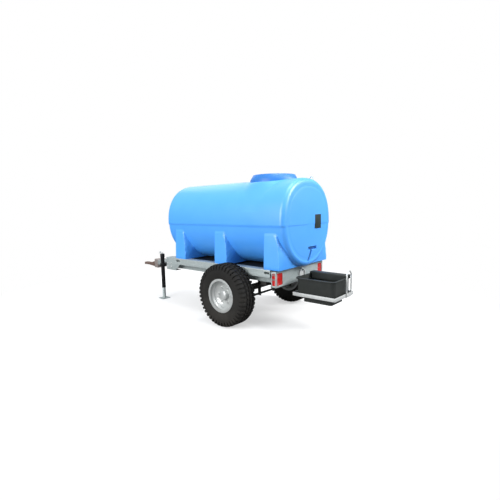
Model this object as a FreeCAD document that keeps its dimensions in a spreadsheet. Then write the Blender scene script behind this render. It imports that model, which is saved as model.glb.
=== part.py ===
"""Water tank trailer with a drinking trough: a parametric document in millimetres.

Stations run forward from the rear face of the bumper, +Y is the left side and +Z is up.
The file's origin lies on the ground, under the middle of the whole trailer.
"""

import FreeCAD, Part
import math
import os
import re

import Sketcher

Vector = FreeCAD.Vector
Rotation = FreeCAD.Rotation

# Sizes in millimetres: alias, size or the formula that it follows, meaning.
SIZES = [
    ("tank_length", 2224, "tank over both end discs"),
    ("tank_overhang", 132, "rear disc behind the bumper face"),
    ("tank_radius", 564, "upper shell of the tank"),
    ("tank_rise", 533, "tank's axis above the side beams"),
    ("tank_axis", "=beam_top + tank_rise", "height of the tank's axis"),
    ("shell_step", 20, "lower shell smaller than the upper one"),
    ("end_round", 62, "round between barrel and disc"),
    ("disc_bulge", 16, "dome of each end disc"),
    ("seam_proud", 5, "parting seam beyond the upper shell"),
    ("seam_height", 14, "parting seam's height"),
    ("leg_width", 224, "moulded leg along the tank"),
    ("leg_pitch", "=(tank_length - tank_overhang - leg_station - leg_front) / 2", "distance between legs"),
    ("leg_station", 60, "middle of the rear leg"),
    ("leg_front", 326, "middle of the front leg behind the tank's front end"),
    ("leg_face", 568, "outer face of a leg from the middle"),
    ("leg_top", 86, "top of a leg below the tank's axis"),
    ("outlet_width", 190, "outlet recess across"),
    ("outlet_height", 130, "outlet recess upright"),
    ("outlet_depth", 60, "outlet recess into the disc"),
    ("outlet_side", 70, "outlet recess right of the middle"),
    ("outlet_drop", 388, "middle of the outlet recess below the axis"),
    ("collar_station", 423, "middle of the manhole collar"),
    ("collar_foot", 318, "collar radius at its foot"),
    ("collar_rim", 278, "collar radius at its rim"),
    ("collar_rise", 66, "collar rim above the barrel"),
    ("mouth_radius", 190, "manhole mouth"),
    ("lid_radius", 226, "manhole lid"),
    ("lid_height", 16, "manhole lid's plate"),
    ("lid_sink", 22, "seat of the lid below the rim"),
    ("lid_gap", 8, "play around the lid in its seat"),
    ("lid_pin", 5, "radius of the lid's hinge pin"),
    ("lid_arm", 60, "width of the lid's hinge arm"),
    ("arm_lift", 6, "lid's hinge arm above the rim"),
    ("post_inset", 16, "arm's post inside the lid's edge"),
    ("hinge_reach", 8, "hinge pin beyond the lid's seat"),
    ("hinge_play", 1, "play beside the hinge arm"),
    ("knuckle_wall", 5, "wall around the hinge pin"),
    ("ear_wall", 7, "hinge ear"),
    ("ear_width", 20, "hinge ear across"),
    ("ear_crown", 9, "hinge ear above its pin"),
    ("grip_width", 14, "lid's grip across"),
    ("grip_rise", 12, "lid's grip above the lid"),
    ("deck_rise", 344, "top of the side beams above the hubs"),
    ("beam_top", "=tyre_radius + deck_rise", "top of the side beams"),
    ("beam_height", 94, "side beam"),
    ("beam_face", 570, "outer face of a side beam"),
    ("beam_width", 120, "flanges of a side beam"),
    ("beam_wall", 5, "sheet of the side beams"),
    ("beam_rear", 74, "station of the beams' rear ends"),
    ("frame_margin", 23, "beams' front ends beyond the tank"),
    ("beam_front", "=tank_length - tank_overhang + frame_margin", "station of the beams' front ends"),
    ("skirt_depth", 190, "beam's deep front end"),
    ("skirt_length", 222, "beam's deep front end along its foot"),
    ("skirt_foot", "=beam_front - skirt_length", "lower rear corner of the deep end"),
    ("skirt_slope", 104, "slanted rear edge of the deep end"),
    ("skirt_neck", "=skirt_foot - skirt_slope", "upper rear corner of the deep end"),
    ("tube_width", 92, "cross tube along the trailer"),
    ("tube_height", 34, "cross tube upright"),
    ("tube_wall", 4, "cross tube's wall"),
    ("tube_sink", 56, "underside of the cross tubes below the beams' top"),
    ("tube_bottom", "=beam_top - tube_sink", "underside of the cross tubes"),
    ("rear_tube", 125, "middle of the rear cross tube"),
    ("front_inset", 283, "middle of the front cross tube behind the beams' ends"),
    ("front_tube", "=beam_front - front_inset", "middle of the front cross tube"),
    ("front_member", 60, "front cross member along the trailer"),
    ("deck_wall", 4, "sheet under the tank"),
    ("deck_gap", 2, "play beside the sheet under the tank"),
    ("rail_inset", 135, "middle of a drawbar rail inside the beam's face"),
    ("rail_middle", "=beam_face - rail_inset", "middle of a drawbar rail"),
    ("rail_width", 60, "drawbar rail across"),
    ("rail_height", 80, "drawbar rail upright"),
    ("bend_inset", 75, "rails' bend behind the beams' ends"),
    ("rail_bend", "=beam_front - bend_inset", "station where the rails turn inwards"),
    ("nose_length", 1020, "rails in front of their bend"),
    ("rail_end", "=rail_bend + nose_length", "station of the rails' front ends"),
    ("rail_nose", 66, "middle of a rail at its front end"),
    ("rail_drop", 96, "fall of the rails to their front ends"),
    ("head_length", 155, "drawbar head along the trailer"),
    ("head_end", "=rail_end + head_length", "front of the drawbar head"),
    ("head_width", 170, "drawbar head across"),
    ("head_sink", 184, "top of the drawbar head below the beams' top"),
    ("head_height", 150, "drawbar head upright"),
    ("head_top", "=beam_top - head_sink", "top of the drawbar head"),
    ("head_taper", 40, "length of the head's slanted front"),
    ("head_bottom", "=head_top - head_height", "underside of the drawbar head"),
    ("eye_reach", 385, "towing eye in front of the head"),
    ("eye_tip", "=head_end + eye_reach", "front of the towing eye"),
    ("eye_radius", 52, "towing eye outside"),
    ("eye_bore", 25, "radius of the towing eye's hole"),
    ("eye_rise", 38, "middle of the towing eye above the head's underside"),
    ("eye_height", "=head_bottom + eye_rise", "middle height of the towing eye"),
    ("eye_thick", 38, "towing eye's ring"),
    ("shank_height", 104, "towing eye's shank upright"),
    ("shank_width", 84, "towing eye's shank across"),
    ("shank_rise", 16, "shank's root above the towing eye's middle"),
    ("shank_inset", 180, "front of the shank's block behind the eye's tip"),
    ("shank_front", "=eye_tip - shank_inset", "front of the shank's block"),
    ("bumper_inset", 20, "bumper's ends inside the beams' faces"),
    ("bumper_half", "=beam_face - bumper_inset", "half width of the bumper"),
    ("bumper_sink", 18, "top of the bumper below the beams' top"),
    ("bumper_top", "=beam_top - bumper_sink", "top of the bumper"),
    ("bumper_height", 192, "bumper upright"),
    ("bumper_deep", 72, "returns of the bumper"),
    ("bumper_wall", 4, "bumper's plate"),
    ("lamp_edge", 22, "lamp's window from the bumper's end"),
    ("lamp_outer", "=bumper_half - lamp_edge", "outer edge of a lamp's window"),
    ("lamp_width", 112, "lamp's window across"),
    ("lamp_sink", 170, "bottom of a lamp's window below the bumper's top"),
    ("lamp_bottom", "=bumper_top - lamp_sink", "bottom of a lamp's window"),
    ("lamp_height", 146, "lamp's window upright"),
    ("lamp_margin", 8, "lamp behind the plate beyond its window"),
    ("lamp_lap", 2, "lamp beyond its window sideways"),
    ("side_margin", 12, "side lamp's window from the plate's edges"),
    ("bracket_wall", 8, "bumper bracket's plate"),
    ("bracket_front", 300, "front end of the bumper brackets"),
    ("tyre_radius", 400, "tyre outside, and hub height"),
    ("tyre_width", 250, "tyre across"),
    ("tyre_bead", 222, "tyre's bead"),
    ("wall_foot", 60, "sidewall's widest line beyond the bead"),
    ("wall_head", 46, "sidewall's widest line inside the tread"),
    ("wall_round", 260, "radius of the sidewall"),
    ("shoulder_drop", 12, "shoulder inside the tread"),
    ("shoulder_inset", 16, "shoulder inside the sidewall"),
    ("shoulder_round", 60, "radius of the shoulder"),
    ("tread_inset", 42, "tread's edge inside the sidewall"),
    ("tyre_seat", 196, "where the tyre sits on the rim"),
    ("tyre_play", 35, "tyre beside the side beam"),
    ("wheel_track", "=2 * (beam_face + tyre_play) + tyre_width", "from wheel middle to wheel middle"),
    ("axle_station", 655, "station of the axle"),
    ("rim_flange", 215, "rim's flange"),
    ("rim_width", 214, "rim across"),
    ("rim_wall", 5, "rim's sheet"),
    ("rim_well", 168, "rim's well"),
    ("well_inner", 44, "bead seat at the inner flange"),
    ("well_outer", 34, "bead seat at the outer flange"),
    ("well_slope", 18, "slope of the well along the axle"),
    ("disc_wall", 12, "wheel disc"),
    ("disc_cone", 40, "slope at the wheel disc's edge"),
    ("disc_edge", 6, "chamfer at the wheel disc's back"),
    ("disc_offset", 8, "wheel disc's seat outside the wheel middle"),
    ("hub_radius", 62, "hub through the wheel disc"),
    ("hub_reach", 62, "hub cap beyond the wheel middle"),
    ("drum_radius", 128, "brake drum"),
    ("drum_width", 78, "brake drum across"),
    ("drum_reach", 118, "inner edge of a drum inside the wheel's middle"),
    ("drum_inner", "=wheel_track / 2 - drum_reach", "inner edge of a drum from the middle"),
    ("drum_wall", 8, "walls of drum and hub"),
    ("drum_face", 14, "drum's outer face"),
    ("hub_start", 20, "hub's inner end inside the drum's edge"),
    ("hub_cap", 16, "hub cap's thickness"),
    ("spindle_radius", 24, "axle spindle"),
    ("spindle_sink", 30, "spindle's end inside the hub cap"),
    ("spindle_play", 0.05, "running play of spindle and jack"),
    ("axle_size", 70, "square axle beam"),
    ("axle_inset", 42, "square beam's end inside the drum's edge"),
    ("axle_half", "=drum_inner - axle_inset", "half length of the square beam"),
    ("backplate_wall", 10, "brake backplate"),
    ("backplate_inset", 4, "brake backplate's edge inside the drum"),
    ("spring_half", 405, "half length of a spring"),
    ("spring_sag", 72, "rise of a spring's ends"),
    ("leaf", 10, "spring leaf"),
    ("spring_width", 60, "spring across"),
    ("seat_plate", 8, "clamp plate on a spring above the axle"),
    ("spring_eye", 18, "spring eye outside"),
    ("spring_pin", 8, "spring pin"),
    ("spring_play", 1, "play beside a spring in its hanger"),
    ("hanger_wall", 8, "spring hanger's plates"),
    ("hanger_length", 84, "spring hanger along the trailer"),
    ("shaft_station", 420, "brake cross shaft's station"),
    ("shaft_sink", 28, "brake cross shaft below the hubs"),
    ("shaft_height", "=tyre_radius - shaft_sink", "brake cross shaft's height"),
    ("shaft_radius", 14, "brake cross shaft"),
    ("shaft_inset", 34, "cross shaft's end inside the square beam's"),
    ("shaft_half", "=axle_half - shaft_inset", "half length of the brake cross shaft"),
    ("lever_rise", 76, "brake lever"),
    ("lever_crown", 14, "brake lever beyond its rod"),
    ("lever_wall", 8, "brake lever's plate"),
    ("brake_rod", 6, "radius of a brake rod"),
    ("rod_tail", 16, "brake rod behind its lever"),
    ("rod_gap", 12, "brake rod's front end behind the axle beam"),
    ("cam_length", 24, "brake cam along the trailer"),
    ("cam_height", 32, "brake cam upright"),
    ("bracket_inset", 90, "shaft bracket inside the rail's middle"),
    ("shaft_bracket", "=rail_middle - bracket_inset", "inner face of a shaft bracket"),
    ("shaft_plate", 48, "shaft bracket along the trailer"),
    ("shaft_foot", 26, "shaft bracket below the shaft"),
    ("jack_place", 410, "jack in front of the rails' bend"),
    ("jack_station", "=rail_bend + jack_place", "jack's station"),
    ("jack_inset", 25, "jack inside the line of the rail's straight part"),
    ("jack_side", "=rail_middle - jack_inset", "jack from the middle"),
    ("jack_radius", 31, "jack's outer tube"),
    ("jack_inner", 25.5, "jack's inner tube"),
    ("jack_bottom", 184, "underside of the outer tube"),
    ("jack_sink", 54, "top of the outer tube below the beams' top"),
    ("jack_top", "=beam_top - jack_sink", "top of the outer tube"),
    ("jack_cap", 12, "closed top of the outer tube"),
    ("jack_overlap", 230, "inner tube inside the outer one"),
    ("jack_head", 36, "gear head's radius"),
    ("jack_head_rise", 62, "gear head upright"),
    ("crank_reach", 62, "jack crank's arm"),
    ("crank_hub", 14, "radius of the crank's boss"),
    ("crank_lift", 4, "arm above the gear head"),
    ("crank_radius", 8, "jack crank's rod"),
    ("knob_radius", 17, "jack crank's knob"),
    ("knob_length", 30, "jack crank's knob upright"),
    ("foot_size", 140, "jack's square foot"),
    ("foot_wall", 8, "jack's foot plate"),
    ("clamp_height", 46, "jack clamp upright"),
    ("clamp_sink", 64, "jack clamp's underside below the rail's top"),
    ("clamp_length", 96, "jack clamp at the rail"),
    ("clamp_nose", 40, "jack clamp at its outer side"),
    ("clamp_wall", 8, "jack clamp around the tube"),
    ("trough_front", 90, "ring's front behind the bumper face"),
    ("trough_reach", 664, "rearmost point behind the bumper face"),
    ("ring_length", 560, "trough ring along the trailer"),
    ("ring_width", 476, "trough ring across"),
    ("ring_middle", 97, "trough's middle left of the trailer's"),
    ("ring_sink", 306, "underside of the trough ring below the bumper's top"),
    ("ring_bottom", "=bumper_top - ring_sink", "underside of the trough ring"),
    ("ring_height", 42, "trough ring upright"),
    ("ring_wall", 6, "trough ring's sheet"),
    ("ring_ledge", 34, "trough ring's lower flange"),
    ("tub_gap", 8, "tub inside the ring"),
    ("tub_round", 60, "tub's corner radius"),
    ("tub_rise", 220, "top of the tub above the ring's underside"),
    ("tub_rim", "=ring_bottom + tub_rise", "top of the tub"),
    ("tub_wall", 8, "tub's wall"),
    ("tub_lip", 14, "tub's rolled rim"),
    ("tub_sink", 80, "underside of the tub below the ring's"),
    ("tub_bottom", "=ring_bottom - tub_sink", "underside of the tub"),
    ("foot_inset", 62, "tub's lower part inside the upper one"),
    ("cover_width", 96, "float cover across"),
    ("cover_rise", 26, "float cover above the rim"),
    ("cover_hang", 58, "float cover below the rim"),
    ("loop_rod", 7, "radius of the trough's loops"),
    ("loop_width", 130, "trough's loops across"),
    ("front_rise", 280, "front loop above the ring's underside"),
    ("front_loop", "=ring_bottom + front_rise", "top of the front loop"),
    ("rear_rise", 315, "rear loop above the ring's underside"),
    ("rear_loop", "=ring_bottom + rear_rise", "top of the rear loop"),
    ("hanger_width", 150, "trough hanger across"),
    ("hanger_sink", 40, "top of the trough hanger below the front loop's"),
    ("lift_station", -10, "lifting eye's station"),
    ("lift_side", 230, "lifting eye right of the middle"),
    ("lift_width", 56, "lifting eye across"),
    ("lift_rise", 84, "lifting eye upright"),
    ("lift_rod", 6, "radius of the lifting eye's rod"),
    ("lift_sill", 34, "lower edge of the lifting eye's opening"),
    ("lift_foot", 40, "lifting eye's foot along the trailer"),
    ("lift_side_foot", 48, "lifting eye's foot across"),
    ("lift_seat", 22, "top of the lifting eye's foot"),
    ("lift_root", 30, "lifting eye's foot below the barrel's line"),
    ("meeting_gap", 0.3, "play between curved faces that meet"),
]
ALIASES = {alias for alias, _, _ in SIZES}

# Heights and places that follow from the driving dimensions.
CENTRE = "((eye_tip - trough_reach) / 2)"
TANK_MIDDLE = "(tank_length / 2 - tank_overhang)"
LOWER_SHELL = "(tank_radius - shell_step)"
BEAM_BOTTOM = "(beam_top - beam_height)"
RAIL_BOTTOM = "(beam_top - beam_height - rail_height)"
COLLAR_TOP = "(tank_radius + collar_rise)"
SEAT = "(tank_radius + collar_rise - lid_sink)"
LID_AXIS = "(lid_radius + lid_gap + lid_pin + hinge_reach)"
RAIL_SLOPE = "((rail_middle - rail_nose) / (rail_end - rail_bend))"
SPRING_BACK = "((spring_half ^ 2 + spring_sag ^ 2) / (2 * spring_sag))"
LEAF_SHARES = (0.45, 0.72, 1.0)

doc = FreeCAD.newDocument("WaterTankTrailer")
sheet = doc.addObject("Spreadsheet::Sheet", "Sizes")
for row, (alias, number, meaning) in enumerate(SIZES, start=1):
    sheet.set(f"A{row}", meaning)
    sheet.setAlias(f"B{row}", alias)
for row, (alias, number, meaning) in enumerate(SIZES, start=1):
    sheet.set(f"B{row}", str(number))
doc.recompute()

pieces = []


def bind(text):
    """Point every alias in a formula at its cell."""
    return re.sub(r"[a-z_]+", lambda word: f"Sizes.{word[0]}" if word[0] in ALIASES else word[0], text)


def size(text):
    """Work a formula out, in millimetres."""
    return float(sheet.evalExpression(bind(text)))


def place(item, x="0", y="0", z="0", turn=None):
    """Set a piece at a station, a distance to the left and a height."""
    item.Placement = FreeCAD.Placement(Vector(), turn or Rotation())
    item.setExpression("Placement.Base.x", bind(f"({x}) - {CENTRE}"))
    item.setExpression("Placement.Base.y", bind(y))
    item.setExpression("Placement.Base.z", bind(z))
    return item


def keep(item, label):
    """Name a piece and put it on the list that is written out."""
    item.Label = label
    pieces.append(item)
    return item


def box(label, x, y, z):
    """A block between two stations, two distances to the left and two heights."""
    block = doc.addObject("Part::Box", "Block")
    for side, (low, high) in zip(("Length", "Width", "Height"), (x, y, z)):
        block.setExpression(side, bind(f"({high}) - ({low})"))
    place(block, x[0], y[0], z[0])
    return keep(block, label)


def new_body(label, x="0", y="0", z="0", turn=None):
    """An empty body, named and in its place."""
    body = keep(doc.addObject("PartDesign::Body", "Piece"), label)
    return place(body, x, y, z, turn)


def sketch(body, plane, offset="0"):
    """An empty sketch on one of the body's own planes, moved along that plane's normal."""
    page = body.newObject("Sketcher::SketchObject", "Sketch")
    support = [item for item in body.Origin.OriginFeatures if item.Role == plane + "_Plane"]
    page.AttachmentSupport = [(support[0], "")]
    page.MapMode = "FlatFace"
    page.setExpression("AttachmentOffset.Base.z", bind(offset))
    return page


def hold(page, kind, item, end, text):
    """Hold a point of a sketch, or a radius, at a formula's value."""
    points = (item,) if kind == "Radius" else (-1, 1, item, end)
    index = page.addConstraint(Sketcher.Constraint(kind, *points, size(text)))
    page.setExpression(f"Constraints[{index}]", bind(text))


def arc_between(start, end, radius):
    """An arc of up to half a turn; a positive radius has its centre left of the way."""
    chord = end - start
    middle = (start + end) * 0.5
    height = math.sqrt(max(radius ** 2 - chord.Length ** 2 / 4, 0))
    left = Vector(-chord.y, chord.x, 0).normalize()
    centre = middle + left * math.copysign(height, radius)
    first, last = (start, end) if radius > 0 else (end, start)
    angles = [math.atan2(point.y - centre.y, point.x - centre.x) for point in (first, last)]
    ring = Part.Circle(centre, Vector(0, 0, 1), abs(radius))
    return Part.ArcOfCircle(ring, angles[0], angles[1])


def outline(page, steps):
    """Draw a closed outline; a step is a point, or a point and the radius of the arc to it."""
    corners = [Vector(size(step[0]), size(step[1]), 0) for step in steps]
    first = page.GeometryCount
    ends = []
    for index, step in enumerate(steps):
        start, end = corners[index - 1], corners[index]
        if len(step) == 3:
            radius = size(step[2])
            item = page.addGeometry(arc_between(start, end, radius), False)
            ends.append((1, 2) if radius > 0 else (2, 1))
        else:
            item = page.addGeometry(Part.LineSegment(start, end), False)
            ends.append((1, 2))
    for index, step in enumerate(steps):
        item = first + index
        before = first + (index - 1) % len(steps)
        joint = (before, ends[index - 1][1], item, ends[index][0])
        page.addConstraint(Sketcher.Constraint("Coincident", *joint))
    for index, step in enumerate(steps):
        item = first + index
        hold(page, "DistanceX", item, ends[index][1], step[0])
        hold(page, "DistanceY", item, ends[index][1], step[1])
        if len(step) == 3 and math.isclose((corners[index] - corners[index - 1]).Length, 2 * size(step[2])):
            hold(page, "DistanceY", item, 3, step[1])
        elif len(step) == 3:
            turned = step[2] if size(step[2]) > 0 else f"-({step[2]})"
            hold(page, "Radius", item, 0, turned)
    return page


def rectangle(page, u, v):
    """Draw a rectangle between two pairs of formulas."""
    return outline(page, [(u[0], v[0]), (u[1], v[0]), (u[1], v[1]), (u[0], v[1])])


def rounded(page, half_long, half_wide, corner):
    """Draw a rectangle with round corners about the origin."""
    return outline(page, [
        (f"-{half_long} + {corner}", f"-{half_wide}", corner),
        (f"{half_long} - {corner}", f"-{half_wide}"),
        (half_long, f"-{half_wide} + {corner}", corner),
        (half_long, f"{half_wide} - {corner}"),
        (f"{half_long} - {corner}", half_wide, corner),
        (f"-{half_long} + {corner}", half_wide),
        (f"-{half_long}", f"{half_wide} - {corner}", corner),
        (f"-{half_long}", f"-{half_wide} + {corner}"),
    ])


def circle(page, u, v, radius):
    """Draw a circle."""
    centre = Vector(size(u), size(v), 0)
    item = page.addGeometry(Part.Circle(centre, Vector(0, 0, 1), size(radius)), False)
    hold(page, "DistanceX", item, 3, u)
    hold(page, "DistanceY", item, 3, v)
    hold(page, "Radius", item, 0, radius)
    return page


def feature(body, kind, page):
    """Add a feature that works on one sketch."""
    item = body.newObject(f"PartDesign::{kind}", kind)
    item.Profile = page
    page.Visibility = False
    return item


def pad(body, page, length, both=False, back=False):
    """Raise a sketch, on both sides or against its normal where asked."""
    item = feature(body, "Pad", page)
    item.setExpression("Length", bind(length))
    item.Midplane = both
    item.Reversed = back
    return item


def pocket(body, page, length="", back=False):
    """Cut a sketch into the body, right through on both sides where no length is given."""
    item = feature(body, "Pocket", page)
    if length:
        item.setExpression("Length", bind(length))
    else:
        item.Type = "ThroughAll"
        item.Midplane = True
    item.Reversed = back
    return item


def spin(body, page, axis="H_Axis", angle=360, back=False, groove=False):
    """Turn a sketch about one of its own axes."""
    item = feature(body, "Groove" if groove else "Revolution", page)
    item.ReferenceAxis = (page, [axis])
    item.Angle = angle
    item.Reversed = back
    return item


def barrel_profile(page, radius):
    """Half the tank's section: two domed discs, two round edges and the barrel."""
    half = "(tank_length / 2)"
    edge = f"({half} - disc_bulge)"
    flat = f"({radius} - end_round)"
    dome = f"(({flat} ^ 2 + disc_bulge ^ 2) / (2 * disc_bulge))"
    return outline(page, [
        (f"-{half}", "0", dome),
        (half, "0"),
        (edge, flat, dome),
        (f"{edge} - end_round", radius, "end_round"),
        (f"-{edge} + end_round", radius),
        (f"-{edge}", flat, "end_round"),
    ])


def mirrored(sign, text):
    """A formula on the left side as it is, and on the right side with its sign turned."""
    return text if sign > 0 else f"-({text})"


def span(sign, low, high):
    """Two distances from the middle, as a low and a high limit on either side."""
    return (low, high) if sign > 0 else (f"-({high})", f"-({low})")


def make_tank():
    """Lower shell, larger upper shell, parting seam, three saddle legs and the outlet recess."""
    body = new_body("tank", TANK_MIDDLE, "0", "tank_axis")
    spin(body, barrel_profile(sketch(body, "XY"), LOWER_SHELL))
    spin(body, barrel_profile(sketch(body, "XY"), "tank_radius"), angle=180)
    half = "(tank_length / 2 - disc_bulge / 2)"
    side = "(tank_radius + seam_proud)"
    seam = rectangle(sketch(body, "XY"), (f"-{half}", half), (f"-{side}", side))
    pad(body, seam, "seam_height", both=True)
    for number in range(3):
        middle = f"(leg_station + {number} * leg_pitch - {TANK_MIDDLE})"
        limits = (f"{middle} - leg_width / 2", f"{middle} + leg_width / 2")
        leg = rectangle(sketch(body, "XY", "beam_top - tank_axis"), limits, ("-leg_face", "leg_face"))
        pad(body, leg, "tank_axis - beam_top - leg_top")
    across = ("outlet_side - outlet_width / 2", "outlet_side + outlet_width / 2")
    upright = ("-outlet_drop - outlet_height / 2", "-outlet_drop + outlet_height / 2")
    mirrored_across = (f"-({across[1]})", f"-({across[0]})")
    recess = rectangle(sketch(body, "YZ", "-tank_length / 2"), mirrored_across, upright)
    pocket(body, recess, "outlet_depth", back=True)


def make_collar():
    """The low cone around the manhole, with the lid's seat, standing on the barrel."""
    body = new_body("manhole_collar", "collar_station", "0", "tank_axis")
    low = "(tank_radius - 200)"
    spin(body, outline(sketch(body, "XZ"), [
        ("mouth_radius", low),
        ("collar_foot", low),
        ("collar_foot", "tank_radius"),
        ("collar_rim", COLLAR_TOP),
        ("lid_radius + lid_gap", COLLAR_TOP),
        ("lid_radius + lid_gap", SEAT),
        ("mouth_radius", SEAT),
    ]), axis="V_Axis")
    pocket(body, circle(sketch(body, "YZ"), "0", "0", "tank_radius + meeting_gap"))


def make_lid():
    """The hinged lid: a plate with a low crown, a grip and the arm to its hinge."""
    body = new_body("manhole_lid", "collar_station", "0", f"tank_axis + {SEAT}")
    pad(body, circle(sketch(body, "XY"), "0", "0", "lid_radius"), "lid_height")
    base = "(lid_sink + arm_lift)"
    arm = rectangle(
        sketch(body, "XY", base),
        ("-lid_arm / 2", "lid_arm / 2"),
        (f"-{LID_AXIS}", "-lid_radius / 2"),
    )
    pad(body, arm, "2 * lid_pin")
    knuckle = circle(sketch(body, "YZ"), f"-{LID_AXIS}", f"{base} + lid_pin", "lid_pin + knuckle_wall")
    pad(body, knuckle, "lid_arm", both=True)
    post = rectangle(
        sketch(body, "XY", "lid_height / 2"),
        ("-lid_arm / 2", "lid_arm / 2"),
        ("-lid_radius + post_inset", "-lid_radius / 2"),
    )
    pad(body, post, f"{base} - lid_height / 2 + lid_pin")
    pocket(body, circle(sketch(body, "YZ"), f"-{LID_AXIS}", f"{base} + lid_pin", "lid_pin + spindle_play"))
    grip = rectangle(
        sketch(body, "XY", "lid_height / 2"),
        ("-lid_arm", "lid_arm"),
        ("lid_radius / 2", "lid_radius / 2 + grip_width"),
    )
    pad(body, grip, "lid_height / 2 + grip_rise")


def make_lid_hinge():
    """Two ears on the collar's rim and the pin between them."""
    body = new_body("lid_hinge", "collar_station", f"-{LID_AXIS}", f"tank_axis + {COLLAR_TOP}")
    axis = "(arm_lift + lid_pin)"
    side = "(lid_arm / 2 + hinge_play)"
    pad(body, circle(sketch(body, "YZ"), "0", axis, "lid_pin"), f"2 * ({side} + ear_wall)", both=True)
    for start in (side, f"-({side} + ear_wall)"):
        ear = rectangle(
            sketch(body, "YZ", start), ("-ear_width / 2", "ear_width / 2"), ("0", f"{axis} + ear_crown"))
        pad(body, ear, "ear_wall")


def make_lifting_eye():
    """A bent rod on a foot plate, standing upright on the barrel's shoulder."""
    rise = "sqrt(tank_radius ^ 2 - lift_side ^ 2)"
    body = new_body("lifting_eye", "lift_station", "-lift_side", f"tank_axis + {rise}")
    outer = "(lift_width / 2)"
    inner = f"({outer} - 2 * lift_rod)"
    plate = outline(sketch(body, "XZ"), [
        (f"-{outer}", "lift_seat / 2"),
        (outer, "lift_seat / 2"),
        (outer, f"lift_rise - {outer}"),
        (f"-{outer}", f"lift_rise - {outer}", outer),
    ])
    pad(body, plate, "2 * lift_rod", both=True)
    hole = outline(sketch(body, "XZ"), [
        (f"-{inner}", "lift_sill"),
        (inner, "lift_sill"),
        (inner, f"lift_rise - {outer}"),
        (f"-{inner}", f"lift_rise - {outer}", inner),
    ])
    pocket(body, hole)
    foot = rectangle(
        sketch(body, "XY", "-lift_root"),
        ("-lift_foot / 2", "lift_foot / 2"),
        ("-lift_side_foot / 2", "lift_side_foot / 2"),
    )
    pad(body, foot, "lift_root + lift_seat")
    barrel = circle(sketch(body, "YZ"), "lift_side", f"-{rise}", "tank_radius + meeting_gap")
    pocket(body, barrel)


def make_side_beams():
    """Folded channels, open inwards, with a deep front end and windows for the cross tubes."""
    for sign, side in ((1, "left"), (-1, "right")):
        face = mirrored(sign, "beam_face")
        body = new_body(f"side_beam_{side}", "0", face, BEAM_BOTTOM)
        web = outline(sketch(body, "XZ"), [
            ("beam_rear", "0"),
            ("skirt_neck", "0"),
            ("skirt_foot", "beam_height - skirt_depth"),
            ("beam_front", "beam_height - skirt_depth"),
            ("beam_front", "beam_height"),
            ("beam_rear", "beam_height"),
        ])
        pad(body, web, "beam_wall", back=sign < 0)
        lips = (
            ("0", "beam_rear", "beam_width"),
            ("beam_height - beam_wall", "beam_rear", "beam_width"),
            ("beam_height - skirt_depth", "skirt_foot", "beam_face - rail_middle - rail_width / 2"),
        )
        for bottom, rear, inner in lips:
            lip = rectangle(sketch(body, "XY", bottom), (rear, "beam_front"), span(-sign, "0", inner))
            pad(body, lip, "beam_wall")
        for middle in ("rear_tube", "front_tube"):
            low = f"(tube_bottom - {BEAM_BOTTOM})"
            window = rectangle(
                sketch(body, "XZ"),
                (f"{middle} - tube_width / 2", f"{middle} + tube_width / 2"),
                (low, f"{low} + tube_height"),
            )
            pocket(body, window)


def make_cross_tubes():
    """Hollow tubes across the frame; the end ones pass through the side beams."""
    middle_tube = "(leg_station + leg_pitch)"
    ends = {"rear": "rear_tube", "middle": middle_tube, "front": "front_tube"}
    for name, station in ends.items():
        half = "beam_face" if name != "middle" else "(beam_face - beam_wall)"
        body = new_body(f"cross_tube_{name}", station, "0", "tube_bottom + tube_height / 2")
        outer = ("-tube_width / 2", "tube_width / 2"), ("-tube_height / 2", "tube_height / 2")
        inner = [(f"{low} + tube_wall", f"{high} - tube_wall") for low, high in outer]
        pad(body, rectangle(sketch(body, "XZ"), *outer), f"2 * {half}", both=True)
        pocket(body, rectangle(sketch(body, "XZ"), *inner))
    half = "(beam_face - beam_wall)"
    height = (f"{BEAM_BOTTOM} + beam_wall", "beam_top - beam_wall")
    box("front_member", ("beam_front - front_member", "beam_front"), (f"-{half}", half), height)
    side = "(beam_face - beam_width - deck_gap)"
    along = ("rear_tube - tube_width / 2", "front_tube + tube_width / 2")
    tops = ("tube_bottom + tube_height", "tube_bottom + tube_height + deck_wall")
    box("deck_sheet", along, (f"-{side}", side), tops)


def rail_face(station, sign, outward):
    """The inner or outer face of a drawbar rail's front run, at a station."""
    middle = f"rail_middle - {RAIL_SLOPE} * (({station}) - rail_bend)"
    slant = f"sqrt(1 + {RAIL_SLOPE} ^ 2)"
    return mirrored(sign, f"{middle} + {outward} * rail_width / 2 * {slant}")


def make_rails():
    """Drawbar rails: straight under the beams, then inwards and down to the head."""
    for sign, side in ((1, "left"), (-1, "right")):
        body = new_body(f"drawbar_rail_{side}")
        low = "(beam_top - beam_height - rail_height - rail_drop)"
        bottom = sketch(body, "XY", low)
        inner, outer = "rail_middle - rail_width / 2", "rail_middle + rail_width / 2"
        outline(bottom, [
            ("beam_rear", mirrored(sign, inner)),
            ("rail_bend", mirrored(sign, inner)),
            ("rail_end", rail_face("rail_end", sign, -1)),
            ("rail_end", rail_face("rail_end", sign, 1)),
            ("rail_bend", mirrored(sign, outer)),
            ("beam_rear", mirrored(sign, outer)),
        ])
        pad(body, bottom, "rail_height + rail_drop")
        under = outline(sketch(body, "XZ"), [
            ("beam_rear - 1", f"{low} - 1"),
            ("rail_end", f"{low} - 1"),
            ("rail_end", low),
            ("rail_bend", RAIL_BOTTOM),
            ("beam_rear - 1", RAIL_BOTTOM),
        ])
        pocket(body, under)
        over = outline(sketch(body, "XZ"), [
            ("rail_bend", BEAM_BOTTOM),
            ("rail_end + 1", f"{BEAM_BOTTOM} - rail_drop * (1 + 1 / (rail_end - rail_bend))"),
            ("rail_end + 1", f"{BEAM_BOTTOM} + 1"),
            ("rail_bend", f"{BEAM_BOTTOM} + 1"),
        ])
        pocket(body, over)


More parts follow.
